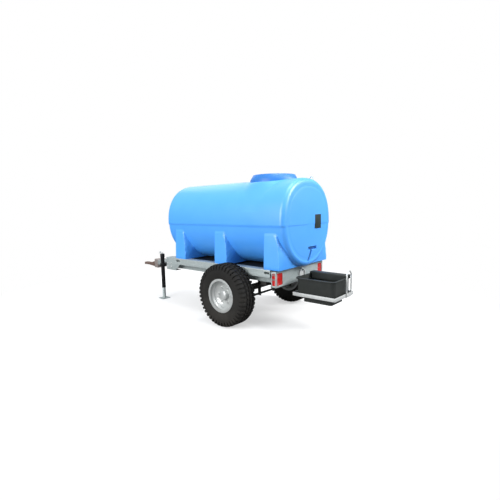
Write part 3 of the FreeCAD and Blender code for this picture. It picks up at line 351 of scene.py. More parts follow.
def finish_mesh(mesh: Mesh, sharp: float = 35.0) -> Mesh:
    """Merge doubles, point faces outwards and shade smooth between sharp edges.

    Args:
        mesh: The mesh to finish.
        sharp: The angle in degrees past which an edge stays sharp.

    Returns:
        The same mesh.
    """
    work = bmesh.new()
    work.from_mesh(mesh)
    bmesh.ops.remove_doubles(work, verts=work.verts, dist=MERGE_DISTANCE)
    bmesh.ops.recalc_face_normals(work, faces=work.faces)
    work.to_mesh(mesh)
    work.free()
    return smoothed(mesh, sharp)


def add_piece(name: str, mesh: Mesh, finish: str, body: Body,
              nodes: Sequence[str] = ()) -> bpy.types.Object:
    """Put a finished mesh in the scene on its body.

    Args:
        name: The piece's name.
        mesh: Its mesh, in place.
        finish: The key of its finish, for a mesh without a material.
        body: The body it rides on.
        nodes: The nodes it stands for.

    Returns:
        The new object.
    """
    piece = bpy.data.objects.new(name, mesh)
    show(piece)
    if not mesh.materials:
        mesh.materials.append(MATERIALS[finish])
    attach(piece, body.value)
    if nodes:
        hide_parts(*nodes)
    LOG.info("%s: %d faces on %s", name, len(mesh.polygons), body.value)
    return piece


def mesh_of(verts: Sequence, faces: Sequence, name: str = "mesh") -> Mesh:
    """Make a mesh from points and faces.

    Args:
        verts: The points.
        faces: Each face's points by number.
        name: The mesh's name.

    Returns:
        The mesh.
    """
    mesh = bpy.data.meshes.new(name)
    mesh.from_pydata([tuple(point) for point in verts], [], [tuple(face) for face in faces])
    mesh.update()
    return mesh


def band(first: int, second: int, wide: int) -> list[tuple[int, ...]]:
    """Make the faces between two closed rings of points.

    Args:
        first: The number of one ring's first point.
        second: The number of the other's.
        wide: The points in each ring.

    Returns:
        The faces, in order around.
    """
    return [(first + at, first + (at + 1) % wide, second + (at + 1) % wide, second + at)
            for at in range(wide)]


def taken(work: bmesh.types.BMesh, name: str) -> Mesh:
    """Turn working geometry into a new mesh and free it.

    Args:
        work: The working geometry.
        name: The mesh's name.

    Returns:
        The mesh.
    """
    mesh = bpy.data.meshes.new(name)
    work.to_mesh(mesh)
    work.free()
    return mesh


def lathe(profile: Sequence[tuple[float, float]], centre: Vector, axis: str, steps: int) -> Mesh:
    """Turn a closed profile about an axis.

    Args:
        profile: Radius and distance along the axis of each point.
        centre: The point on the axis where distance is nought.
        axis: "Y" or "Z".
        steps: Facets around.

    Returns:
        The turned mesh, with faces outwards.
    """
    ring = len(profile)
    verts, faces = [], []
    for step in range(steps):
        angle = 2 * math.pi * step / steps
        for radius, along in profile:
            u, v = radius * math.cos(angle), radius * math.sin(angle)
            verts.append(centre + Vector((u, along, v) if axis == "Y" else (u, v, along)))
    for step in range(steps):
        faces += band(step * ring, (step + 1) % steps * ring, ring)
    return finish_mesh(mesh_of(verts, faces))


def block(low: Sequence[float], high: Sequence[float], bevel: float = 0.002,
          segments: int = 2) -> Mesh:
    """Make a block with rounded edges between two corners.

    Args:
        low: The lowest corner.
        high: The highest corner.
        bevel: The edges' radius.
        segments: Steps of the rounding.

    Returns:
        The block's mesh.
    """
    work = bmesh.new()
    bmesh.ops.create_cube(work, size=1.0)
    size = Vector(high) - Vector(low)
    middle = (Vector(high) + Vector(low)) / 2
    matrix = Matrix.Translation(middle) @ Matrix.Diagonal((*size, 1.0))
    bmesh.ops.transform(work, matrix=matrix, verts=work.verts)
    bmesh.ops.bevel(work, geom=work.edges[:], offset=bevel, segments=segments, affect="EDGES",
                    profile=BEVEL_PROFILE, clamp_overlap=True)
    return finish_mesh(taken(work, "block"), 50.0)


def joined(meshes: Sequence[Mesh]) -> Mesh:
    """Make one mesh of several, without their materials.

    Args:
        meshes: The meshes.

    Returns:
        The one mesh.
    """
    work = bmesh.new()
    for mesh in meshes:
        work.from_mesh(mesh)
    return finish_mesh(taken(work, "joined"), 45.0)


def refined(node: str, bevel: float = 0.0015) -> Mesh:
    """Copy a node, merged and smoothly shaded, with its sharp edges softened.

    Args:
        node: The node's name.
        bevel: The radius of the softened edges.

    Returns:
        The copy's mesh.
    """
    work = bmesh.new()
    work.from_mesh(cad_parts[node].data)
    bmesh.ops.remove_doubles(work, verts=work.verts, dist=NODE_MERGE_DISTANCE)
    bmesh.ops.dissolve_limit(
        work, angle_limit=math.radians(FLAT_ANGLE), verts=work.verts, edges=work.edges)
    sharp = [edge for edge in work.edges
             if len(edge.link_faces) == 2 and edge.calc_face_angle(0.0) > math.radians(BEVEL_ANGLE)]
    bmesh.ops.bevel(work, geom=sharp, offset=bevel, segments=2, affect="EDGES",
                    profile=BEVEL_PROFILE, clamp_overlap=True)
    return smoothed(taken(work, node), NODE_SHARP_ANGLE)


def item_tree(name: str, points: str, number: str) -> tuple[Tree, Node]:
    """Start a Geometry Nodes tree that repeats one item at points.

    Args:
        name: The tree's name.
        points: The type of the node that makes the points.
        number: The name of the input that spaces or turns the items.

    Returns:
        The tree and its instance node.
    """
    tree = bpy.data.node_groups.new(name, "GeometryNodeTree")
    for label, kind in (("Geometry", "Geometry"), ("Count", "Int"), (number, "Float"),
                        ("Material", "Material")):
        tree.interface.new_socket(label, in_out="INPUT", socket_type=f"NodeSocket{kind}")
    tree.interface.new_socket("Geometry", in_out="OUTPUT", socket_type="NodeSocketGeometry")
    given = new_node(tree, "NodeGroupInput", name="In")
    result = new_node(tree, "NodeGroupOutput")
    seats = new_node(tree, points, name="Points")
    place = new_node(tree, "GeometryNodeInstanceOnPoints")
    real = new_node(tree, "GeometryNodeRealizeInstances")
    dress = new_node(tree, "GeometryNodeSetMaterial")
    wire(tree, (given.outputs["Count"], seats.inputs["Count"]),
         (seats.outputs[0], place.inputs["Points"]),
         (given.outputs["Geometry"], place.inputs["Instance"]), (place.outputs[0], real.inputs[0]),
         (real.outputs[0], dress.inputs["Geometry"]),
         (given.outputs["Material"], dress.inputs["Material"]), (dress.outputs[0], result.inputs[0]))
    return tree, place


def ring_tree() -> Tree:
    """Make a tree that repeats one item around the Y axis.

    Returns:
        The tree, with inputs Geometry, Count, Offset and Material.
    """
    tree, place = item_tree("ring_of_items", "GeometryNodePoints", "Offset")
    given = tree.nodes["In"].outputs
    index = new_node(tree, "GeometryNodeInputIndex")
    share = new_node(tree, "ShaderNodeMath", operation="DIVIDE")
    turn = new_node(tree, "ShaderNodeMath", {1: 2 * math.pi}, operation="MULTIPLY_ADD")
    about = new_node(tree, "ShaderNodeCombineXYZ")
    wire(tree, (index.outputs[0], share.inputs[0]), (given["Count"], share.inputs[1]),
         (share.outputs[0], turn.inputs[0]), (given["Offset"], turn.inputs[2]),
         (turn.outputs[0], about.inputs["Y"]), (about.outputs[0], place.inputs["Rotation"]))
    return tree


def row_tree() -> Tree:
    """Make a tree that repeats one item upwards.

    Returns:
        The tree, with inputs Geometry, Count, Step and Material.
    """
    tree, _ = item_tree("row_of_items", "GeometryNodeMeshLine", "Step")
    step = new_node(tree, "ShaderNodeCombineXYZ")
    wire(tree, (tree.nodes["In"].outputs["Step"], step.inputs["Z"]),
         (step.outputs[0], tree.nodes["Points"].inputs["Offset"]))
    return tree


def baked(mesh: Mesh, tree: Tree, values: dict) -> Mesh:
    """Run a Geometry Nodes tree on a mesh and keep the plain result.

    Args:
        mesh: The mesh that goes in.
        tree: The tree.
        values: Input name to value.

    Returns:
        The resulting mesh.
    """
    holder = bpy.data.objects.new("holder", mesh)
    show(holder)
    modifier = holder.modifiers.new("make", "NODES")
    modifier.node_group = tree
    for item in tree.interface.items_tree:
        if item.item_type == "SOCKET" and item.in_out == "INPUT" and item.name in values:
            modifier[item.identifier] = values[item.name]
    bpy.context.view_layer.update()
    done = bpy.data.meshes.new_from_object(holder.evaluated_get(bpy.context.evaluated_depsgraph_get()))
    bpy.data.objects.remove(holder)
    return done


def moved(mesh: Mesh, by: Vector) -> Mesh:
    """Move a mesh."""
    mesh.transform(Matrix.Translation(by))
    return mesh


def bolt(radius: float, height: float, at: Vector, axis: str) -> Mesh:
    """Make a hexagon head with its washer, standing on a surface.

    Args:
        radius: The head's radius over its corners.
        height: The head's height.
        at: The middle of its seat.
        axis: The outward direction: "+Y", "-Y" or "+Z".

    Returns:
        The bolt's mesh.
    """
    turns = {"+Y": -math.pi / 2, "-Y": math.pi / 2, "+Z": 0.0}
    turn = Matrix.Rotation(turns[axis], 4, "X")
    washer = (20, 1.35, 1.35, 0.0, 0.18)
    head = (6, 1.0, 0.94, 0.18, 1.0)
    work = bmesh.new()
    for sides, foot, crown, low, high in (washer, head):
        rise = Matrix.Translation((0, 0, height * (low + high) / 2))
        bmesh.ops.create_cone(work, cap_ends=True, segments=sides, radius1=radius * foot,
                              radius2=radius * crown, depth=height * (high - low),
                              matrix=Matrix.Translation(at) @ turn @ rise)
    return finish_mesh(taken(work, "bolt"), 30.0)


# --- the tank


@dataclass
class Tank:
    """The moulded barrel tank with its saddle legs, collar, lid and blank label."""

    upper: float = 0.564
    half_width: float = 0.556
    squareness: float = 2.3
    lower_step: float = 0.020
    seam_drop: float = 0.012
    seam_ridge: float = 0.005
    seam_width: float = 0.010
    seam_soft: float = 0.005
    end_round: float = 0.062
    bulge: float = 0.016
    overhang: float = 0.132
    groove: float = 0.0015
    groove_rings: tuple[float, ...] = (0.93, 0.905, 0.90)
    disc_step: float = 0.004
    disc_soft: float = 0.006
    leg_station: float = 0.060
    leg_pitch: float = 0.853
    leg_width: float = 0.224
    leg_waist: float = 0.050
    leg_face: float = 0.568
    leg_top: float = 0.076
    leg_height: float = 0.36
    leg_start: float = 0.040
    waist_start: float = 0.12
    foot_round: float = 0.012
    leg_draft: float = 0.027
    leg_share: float = 0.8
    blend: float = 0.030
    draft: float = 14.0
    boss_radius: float = 0.345
    boss_slope: float = 0.092
    boss_fall: float = 0.9
    boss_curl: float = 9.0
    boss_sink: float = 0.001
    boss_blend: float = 0.060
    boss_reach: float = 0.3
    halvings: int = 24
    around: int = 280
    pitch: float = 0.024
    edge_reach: float = 0.04
    mouth: tuple[float, float, float] = (0.185, 0.004, 0.058)
    label_size: tuple[float, float] = (0.150, 0.178)
    label_right: float = 0.194
    label_height: float = 1.296
    label_wall: float = 0.007
    outlet_bar: tuple[float, float, float, float] = (-0.170, 0.023, 0.944, 0.978)
    outlet_stem: tuple[float, float, float, float] = (-0.058, 0.952, 0.010, 0.806)
    outlet_half: float = 0.017
    outlet_soft: float = 0.010
    outlet_depth: float = 0.040
    outlet_arc: tuple[float, float, int] = (-0.10, 0.52, 70)
    insert_gap: float = 0.004
    insert_half: float = 0.012
    insert_back: float = 0.010
    insert_front: float = 0.008

    def limits(self) -> tuple[float, float, float, float]:
        """Rear end, front end, axis height and foot height of the tank."""
        low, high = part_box("tank")
        return low.x, high.x, high.z - self.upper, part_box("side_beam_left")[1].z

    def leg_middles(self) -> list[float]:
        """Places of the three legs along the trailer."""
        start = self.limits()[0] + self.overhang + self.leg_station
        return [start + number * self.leg_pitch for number in range(3)]

    def stations(self, rear: float, front: float) -> Field:
        """Stations along the barrel, closer together at the legs' edges and the ends.

        Args:
            rear: The rear end.
            front: The front end.

        Returns:
            Sorted stations in metres.
        """
        start, stop = rear + self.bulge, front - self.bulge
        turns = np.linspace(0, math.pi / 2, 10)
        ends = self.end_round * (1 - np.cos(turns))
        body = np.arange(start + self.end_round, stop - self.end_round, self.pitch)
        near = np.linspace(-self.edge_reach, self.edge_reach, 15)
        edges = [at + side * self.leg_width / 2 + step
                 for at in self.leg_middles() for side in (-1, 1) for step in near]
        return np.unique(np.round(np.concatenate([start + ends, body, edges, stop - ends]), 5))

    def end_pull(self, x: Field, rear: float, front: float) -> Field:
        """Work out how far the round edges pull the barrel in.

        Args:
            x: Stations along the barrel.
            rear: The rear end.
            front: The front end.

        Returns:
            The pull at each station.
        """
        inside = np.minimum(x - rear - self.bulge, front - self.bulge - x)
        gap = np.clip(self.end_round - inside, 0, self.end_round)
        return self.end_round - np.sqrt(np.maximum(self.end_round ** 2 - gap ** 2, 0))

    def barrel(self, side: Field, up: Field, pull: Field) -> Field:
        """Work out the two shells' radii, with the parting ridge between them.

        Args:
            side: The left part of each direction.
            up: Its upward part.
            pull: How far the ends pull it in.

        Returns:
            The radii.
        """
        power = self.squareness
        across, upright = np.abs(side / self.half_width), np.abs(up / self.upper)
        shape = (across ** power + upright ** power) ** (-1 / power)
        round_shape = np.hypot(side, up) * (self.upper - self.lower_step)
        height = up * self.upper + self.seam_drop
        share = 1 / (1 + np.exp(-np.clip(height / self.seam_soft, -60, 60)))
        ridge = self.seam_ridge * np.exp(-(height / self.seam_width) ** 2)
        return round_shape * (1 - share) + shape * share - pull + ridge

    def legs(self, x: Field, side: Field, up: Field, barrel: Field) -> Field:
        """Work out the saddle legs' radii: upright faces, a flat foot and concave flanks.

        Args:
            x: Stations along the barrel.
            side: The left part of each direction.
            up: Its upward part.
            barrel: The barrel's radii.

        Returns:
            The radii, with nought above the axis.
        """
        axis, deck = self.limits()[2:]
        depth = np.clip((-up * self.upper - self.leg_top) / self.leg_height, 0, 1)
        flat = (self.leg_face - self.leg_draft * (1 - depth)) / np.maximum(np.abs(side), 1e-3)
        foot = (axis - deck) / np.maximum(-up, 1e-3)
        outline = -self.soft(-flat, -foot, self.foot_round)
        height = -outline * up
        gate = self.eased(np.clip((height - self.leg_top) / self.leg_start, 0, 1))
        share = np.clip((height - self.waist_start) / self.leg_height, 0, 1)
        offsets = np.stack([x - at for at in self.leg_middles()])
        waist = self.leg_waist * (1 - share) ** 2
        past = np.maximum(offsets, waist - offsets) - self.leg_width / 2
        away = np.maximum(np.min(past, axis=0), 0)
        legs = outline - self.draft * away
        return np.where(up < 0, barrel * self.leg_share * (1 - gate) + legs * gate, 0.0)

    def boss(self, x: Field, side: Field, up: Field) -> Field:
        """Work out the radii of the soft raised seat under the collar, by halving.

        Args:
            x: Stations along the barrel.
            side: The left part of each direction.
            up: Its upward part.

        Returns:
            The radii, with nought away from the top.
        """
        low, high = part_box("manhole_collar")
        along = x - (low.x + high.x) / 2
        near, far = np.zeros_like(x), np.full_like(x, 1.0)
        for _ in range(self.halvings):
            radius = (near + far) / 2
            reach = np.hypot(along, radius * side)
            past = np.maximum(reach - self.boss_radius, 0)
            lift = self.upper - self.boss_sink - self.boss_slope * np.minimum(reach, self.boss_radius)
            inside = radius * up < lift - self.boss_fall * past - self.boss_curl * past ** 2
            near = np.where(inside, radius, near)
            far = np.where(inside, far, radius)
        return np.where(up > self.boss_reach, near, 0.0)

    def outlet(self, y: Field, z: Field) -> Field:
        """Work out how deep the outlet recess is at points of the rear disc.

        Args:
            y: The points' distances to the left.
            z: Their heights.

        Returns:
            The depth at each point.
        """
        left, right, low, high = self.outlet_bar
        bar = np.maximum(np.maximum(left - y, y - right), np.maximum(low - z, z - high))
        y0, z0, y1, z1 = self.outlet_stem
        length = (y1 - y0) ** 2 + (z1 - z0) ** 2
        along = np.clip(((y - y0) * (y1 - y0) + (z - z0) * (z1 - z0)) / length, 0, 1)
        stem = np.hypot(y - y0 - along * (y1 - y0), z - z0 - along * (z1 - z0)) - self.outlet_half
        inside = np.clip(0.5 - np.minimum(bar, stem) / self.outlet_soft, 0, 1)
        return self.outlet_depth * self.eased(inside)

    def disc(self, points: list, faces: list, rim: Field, first: int, end: float,
             shares: Sequence[float]) -> None:
        """Close one end of the shell with rings that shrink to its middle.

        Args:
            points: The shell's points, which grow.
            faces: The shell's faces, which grow.
            rim: The barrel's last ring.
            first: Its first point's number.
            end: The middle's station.
            shares: The rings' sizes against the rim.
        """
        rear, _, axis, _ = self.limits()
        sign = -1 if end == rear else 1
        wide = len(rim)
        for share in shares:
            y = rim[:, 1] * share
            z = axis + (rim[:, 2] - axis) * share
            out = self.bulge * (1 - share ** 2) - (self.groove if share in self.groove_rings else 0.0)
            step = self.disc_step * np.clip((axis - self.seam_drop - z) / self.disc_soft + 0.5, 0, 1)
            depth = self.outlet(y, z) if end == rear else 0.0
            ring_x = rim[:, 0] + sign * (out - step - depth)
            faces += band(first, len(points), wide)
            first = len(points)
            points += [tuple(map(float, point)) for point in zip(ring_x, y, z)]
        faces += [(first + col, first + (col + 1) % wide, len(points)) for col in range(wide)]
        points.append((end, 0.0, axis))

    def shell(self) -> Mesh:
        """Make the tank's skin as a field of radii about its axis.

        Returns:
            The closed mesh.
        """
        rear, front, axis, _ = self.limits()
        x = self.stations(rear, front)
        even = np.linspace(0, 2 * math.pi, self.around, endpoint=False)
        start, stop, steps = self.outlet_arc
        near_outlet = np.linspace(math.pi + start, math.pi + stop, steps)
        angle = np.unique(np.round(np.concatenate([even, near_outlet]), 5))
        wide = len(angle)
        grid_x, grid_a = np.meshgrid(x, angle, indexing="ij")
        side, up = np.sin(grid_a), np.cos(grid_a)
        barrel = self.barrel(side, up, self.end_pull(x, rear, front)[:, None])
        radius = self.soft(barrel, self.legs(grid_x, side, up, barrel), self.blend)
        radius = self.soft(radius, self.boss(grid_x, side, up), self.boss_blend)
        verts = np.stack([grid_x, radius * side, axis + radius * up], axis=-1)
        points = [tuple(point) for point in verts.reshape(-1, 3)]
        faces = []
        for row in range(len(x) - 1):
            faces += band(row * wide, (row + 1) * wide, wide)
        border = [0.985, 0.96, 0.93]
        fine = [*border, 0.905, *np.linspace(0.885, 0.56, 40), 0.45, 0.3, 0.15]
        coarse = [*border, 0.90, 0.885, 0.80, 0.6, 0.4, 0.2]
        self.disc(points, faces, verts[0], 0, rear, fine)
        self.disc(points, faces, verts[-1], (len(x) - 1) * wide, front, coarse)
        return finish_mesh(mesh_of(points, faces, "tank"), 55.0)

    def insert(self) -> Mesh:
        """Make the T-shaped insert at the bottom of the outlet recess, darker blue as painted shade in the
        recess.

        Returns:
            The insert's mesh.
        """
        floor = self.limits()[0] + self.outlet_depth
        back, face, gap = floor - self.insert_back, floor + self.insert_front, self.insert_gap
        left, right, low, high = self.outlet_bar
        bar = block((back, left + gap, low + gap), (face, right - gap, high - gap), 0.003)
        y0, z0, y1, z1 = self.outlet_stem
        half = math.hypot(y1 - y0, z1 - z0) / 2
        stem = block((back, -self.insert_half, -half), (face, self.insert_half, half), 0.003)
        lean = Matrix.Rotation(-math.atan2(y1 - y0, z1 - z0), 4, "X")
        stem.transform(Matrix.Translation((0, (y0 + y1) / 2, (z0 + z1) / 2)) @ lean)
        return joined([bar, stem])

    @staticmethod
    def eased(share: Field) -> Field:
        """Ease a share between nought and one at both ends."""
        return share * share * (3 - 2 * share)

    @staticmethod
    def soft(first: Field, second: Field, width: float) -> Field:
        """Take the larger of two fields, rounded where they cross.

        Args:
            first: One field.
            second: The other field.
            width: The width of the rounding.

        Returns:
            The blended field.
        """
        gap = np.clip(0.5 + 0.5 * (first - second) / width, 0, 1)
        return second * (1 - gap) + first * gap + width * gap * (1 - gap) * 0.5

    def build(self) -> None:
        """Make every piece of the tank."""
        add_piece("tank_shell", self.shell(), "tank", Body.CHASSIS, ("tank",))
        add_piece("collar_moulding", refined("manhole_collar", 0.006), "collar", Body.CHASSIS,
                  ("manhole_collar",))
        add_piece("lid_moulding", refined("manhole_lid", 0.003), "lid", Body.LID,
                  ("manhole_lid",))
        # A dark disc below the collar's rim paints the shade inside the manhole mouth.
        low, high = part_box("manhole_collar")
        radius, wall, drop = self.mouth
        mouth = lathe([(0.0, 0.0), (radius, 0.0), (radius, wall), (0.0, wall)],
                      Vector(((low.x + high.x) / 2, 0, high.z - drop)), "Z", 64)
        add_piece("mouth_shadow", mouth, "dark", Body.CHASSIS)
        # The darker insert paints the shade in the outlet recess.
        add_piece("outlet_shade_insert", self.insert(), "outlet", Body.CHASSIS)
        rear = self.limits()[0]
        wide, tall = self.label_size
        label = block(
            (rear, -self.label_right - wide / 2, self.label_height - tall / 2),
            (rear + self.label_wall, -self.label_right + wide / 2, self.label_height + tall / 2),
            0.0015)
        add_piece("blank_label", label, "label", Body.CHASSIS)


# --- wheels


@dataclass
class Wheel:
    """A road wheel: treaded tyre, dished rim, brake drum and studs."""

    side: str
    sign: int
    body: Body
    tree: Tree
    tread_depth: float = 0.013
    lugs: int = 44
    lug_start: float = 0.060
    lug_share: float = 0.30
    lug_crown: float = 0.84
    lug_lean: float = 0.10
    centre_share: float = 0.34
    centre_span: tuple[float, float] = (0.012, 0.040)
    centre_foot: float = 0.022
    proud: float = 0.001
    studs: int = 6
    stud_circle: float = 0.1025
    stud_seat: float = 0.020
    centre: Vector = field(init=False)
    half: float = field(init=False)
    radius: float = field(init=False)

    def __post_init__(self) -> None:
        """Take the tyre's middle, half width and radius from its node."""
        low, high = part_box(f"tyre_{self.side}")
        self.centre = (low + high) / 2
        self.half = (high.y - low.y) / 2
        self.radius = (high.z - low.z) / 2

    def carcass(self) -> Mesh:
        """Make the tyre's round body with beads, side bulge and tread grooves.

        Returns:
            The body's mesh.
        """
        half, radius = self.half, self.radius - self.tread_depth
        outer = [
            (0.198, 0.104), (0.226, 0.106), (0.236, 0.112), (0.262, half - 0.008),
            (0.298, half - 0.001), (0.322, half - 0.004), (0.350, half - 0.014),
            (radius - 0.012, half - 0.024), (radius, half - 0.042), (radius + 0.002, 0.062),
            (radius - 0.003, 0.058), (radius - 0.003, 0.044), (radius + 0.006, 0.040),
            (radius + 0.006, 0.012), (radius - 0.003, 0.008)]
        profile = outer + [(r, -y) for r, y in reversed(outer)]
        return lathe(profile, self.centre, "Y", 160)

    def tread(self) -> list[Mesh]:
        """Make the shoulder lugs and centre blocks, repeated around the tyre.

        Returns:
            One mesh for each of the four rows.
        """
        pitch = 2 * math.pi * self.radius / self.lugs
        inner, outer = self.centre_span
        made = []
        for sign, phases in ((-1, (0.5, 0.75)), (1, (0.0, 0.25))):
            middle = block(
                (-pitch * self.centre_share, min(sign * inner, sign * outer), self.radius - self.centre_foot),
                (pitch * self.centre_share, max(sign * inner, sign * outer), self.radius - self.proud),
                0.002, 1)
            for mesh, phase in zip((self.lug(pitch * self.lug_share, sign), middle), phases):
                ring = baked(mesh, self.tree, {
                    "Count": self.lugs, "Offset": phase * 2 * math.pi / self.lugs,
                    "Material": MATERIALS["tyre"]})
                made.append(moved(ring, self.centre))
        return made

    def lug(self, width: float, sign: int) -> Mesh:
        """Make one shoulder lug that wraps from the tread onto the sidewall.

        Args:
            width: Half the lug's width around the tyre.
            sign: 1 on the outer side of the left wheel, -1 on the other side.

        Returns:
            The lug's mesh.
        """
        half, radius, start = self.half, self.radius, self.lug_start
        top = [(start, radius - 0.001), (half - 0.040, radius - 0.001), (half - 0.014, radius - 0.010),
               (half - 0.001, radius - 0.036), (half - 0.0005, radius - 0.068)]
        foot = [(start, radius - 0.020), (half - 0.044, radius - 0.024), (half - 0.032, radius - 0.032),
                (half - 0.022, radius - 0.046), (half - 0.012, radius - 0.076)]
        crown = width * self.lug_crown
        verts, faces = [], []
        for (along, high), (inside, low) in zip(top, foot):
            lean = self.lug_lean * (along - start)
            verts += [(-width + lean, sign * inside, low), (width + lean, sign * inside, low),
                      (crown + lean, sign * along, high), (-crown + lean, sign * along, high)]
        for step in range(len(top) - 1):
            faces += band(step * 4, step * 4 + 4, 4)
        faces += [(0, 1, 2, 3), tuple(range(len(verts) - 1, len(verts) - 5, -1))]
        return finish_mesh(mesh_of(verts, faces), 30.0)

    def build(self) -> None:
        """Make every piece of the wheel."""
        side = self.side
        tyre = joined([self.carcass()] + self.tread())
        add_piece(f"tyre_tread_{side}", tyre, "tyre", self.body, (f"tyre_{side}",))
        add_piece(f"rim_{side}_finish", refined(f"wheel_rim_{side}"), "rim", self.body,
                  (f"wheel_rim_{side}",))
        add_piece(f"drum_{side}_finish", refined(f"brake_drum_{side}", 0.002), "rim", self.body,
                  (f"brake_drum_{side}",))
        axis = "+Y" if self.sign > 0 else "-Y"
        seat = Vector((self.stud_circle, self.sign * self.stud_seat, 0))
        stud = joined([bolt(0.013, 0.016, seat, axis), bolt(0.007, 0.028, seat, axis)])
        ring = baked(stud, self.tree, {"Count": self.studs, "Material": MATERIALS["bright_zinc"]})
        add_piece(f"wheel_studs_{side}", moved(ring, self.centre), "bright_zinc", self.body)


# --- the rest


@dataclass
class Frame:
    """Galvanised frame, running gear, jack and drawbar."""

    zinc: tuple[str, ...] = (
        "side_beam_left", "side_beam_right", "cross_tube_rear", "cross_tube_middle", "cross_tube_front",
        "front_member", "drawbar_rail_left", "drawbar_rail_right", "rear_bumper",
        "bumper_bracket_left", "bumper_bracket_right", "lid_hinge", "lifting_eye", "jack_leg")
    running: tuple[str, ...] = (
        "axle_beam", "brake_backplate_left", "brake_backplate_right", "leaf_spring_left",
        "leaf_spring_right", "brake_cross_shaft", "shaft_bracket_left", "shaft_bracket_right",
        "brake_rod_left", "brake_rod_right", "spring_hanger_rear_left", "spring_hanger_rear_right",
        "spring_hanger_front_left", "spring_hanger_front_right")
    # deck_sheet is a black sheet that paints the shade under the barrel between the legs; the jack's tube and
    # clamp are black paint.
    painted: tuple[str, ...] = ("jack_tube", "jack_clamp", "deck_sheet")
    skirt_bolts: tuple[tuple[float, float], ...] = (
        (-0.03, 0.05), (-0.03, 0.10), (-0.12, 0.05), (-0.12, 0.10))
    seat_spread: float = 0.022
    seat_inset: float = 0.008
    seat_rise: float = 0.038

    def build(self) -> None:
        """Dress the frame's nodes with softened, finished copies."""
        for names, finish in ((self.zinc, "zinc"), (self.running, "axle"), (self.painted, "black"),
                              (("towing_eye",), "forged"), (("drawbar_head",), "head"),
                              (("jack_crank",), "bright_zinc")):
            for node in names:
                body = Body.JACK_LEG if node == "jack_leg" else Body.CHASSIS
                add_piece(f"{node}_finish", refined(node), finish, body, (node,))

    def bolts(self) -> None:
        """Put bolt heads on the deep front ends and the spring seats."""
        heads = []
        low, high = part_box("side_beam_left")
        spring_low, spring_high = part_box("leaf_spring_left")
        axle_low, axle_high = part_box("axle_beam")
        middle = (axle_low.x + axle_high.x) / 2
        top = axle_high.z + self.seat_rise
        for sign, axis in ((1, "+Y"), (-1, "-Y")):
            for x, z in self.skirt_bolts:
                heads.append(bolt(0.010, 0.009, Vector((high.x + x, high.y * sign, low.z + z)), axis))
            for x in (-self.seat_spread, self.seat_spread):
                for y in (spring_low.y + self.seat_inset, spring_high.y - self.seat_inset):
                    heads.append(bolt(0.009, 0.012, Vector((middle + x, y * sign, top)), "+Z"))
        add_piece("frame_bolts", joined(heads), "bright_zinc", Body.CHASSIS)


@dataclass
class Lamps:
    """Ribbed corner lenses with pale bands that paint the highlights on their side faces, seen through the
    bumper's windows.
    """

    tree: Tree
    rib_pitch: float = 0.009
    rib_height: float = 0.0056
    rib_proud: float = 0.0015
    rib_sink: float = 0.002
    rib_inset: float = 0.004
    margin: float = 0.012
    band_half: float = 0.009
    band_drop: float = 0.024
    band_inset: float = 0.006
    band_proud: float = 0.002

    def ribs(self, low: Vector, high: Vector, outer: float, bottom: float, top: float) -> list:
        """Make flat ribs across the rear face and the side face of one lens.

        Args:
            low: Its lowest corner.
            high: Its highest corner.
            outer: Its side face.
            bottom: The lowest rib's height.
            top: The row's end.

        Returns:
            The two rows' meshes.
        """
        inset, proud, crown = self.rib_inset, self.rib_proud, bottom + self.rib_height
        count = max(int((top - bottom) / self.rib_pitch), 1)
        rear = block((low.x - proud, low.y + inset, bottom), (low.x + self.rib_sink, high.y - inset, crown),
                     0.0008, 1)
        side = block((low.x + inset, outer - proud, bottom), (high.x - inset, outer + proud, crown),
                     0.0008, 1)
        values = {"Count": count, "Step": (top - bottom) / count, "Material": MATERIALS["lens"]}
        return [baked(mesh, self.tree, values) for mesh in (rear, side)]

    def build(self) -> None:
        """Make both corner lamps."""
        for side, sign in (("left", 1), ("right", -1)):
            low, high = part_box(f"rear_lamp_{side}")
            outer = high.y if sign > 0 else low.y
            middle = (low.z + high.z) / 2
            parts = [block(low, high, 0.003)]
            for bottom, top in ((low.z, middle), (middle, high.z)):
                parts += self.ribs(low, high, outer, bottom + self.margin, top - self.margin)
            add_piece(f"lamp_lens_{side}", joined(parts), "lens", Body.CHASSIS,
                      (f"rear_lamp_{side}",))
            # Two pale bands on each side face paint the lens's highlights.
            inset, proud, half = self.band_inset, self.band_proud, self.band_half
            pale = [block((low.x + inset, outer - proud, height - half),
                          (high.x - inset, outer + proud, height + half), 0.001)
                    for height in (middle, high.z - self.band_drop)]
            add_piece(f"lamp_painted_highlight_{side}", joined(pale), "pale", Body.CHASSIS)


@dataclass
class Trough:
    """Drinking trough, its ring, hanger, loops and float cover."""

    zinc: tuple[str, ...] = ("trough_ring", "trough_hanger", "trough_loop_front", "trough_loop_rear")
    plastic: tuple[str, ...] = ("trough_tub", "float_cover")

    def build(self) -> None:
        """Dress the trough's nodes."""
        for names, bevel, finish, slot in ((self.zinc, 0.0012, "bright_zinc", "zinc"),
                                           (self.plastic, 0.004, "trough", "trough_plastic")):
            for node in names:
                add_piece(f"{node}_finish", refined(node, bevel), finish, Body.CHASSIS, (node,))


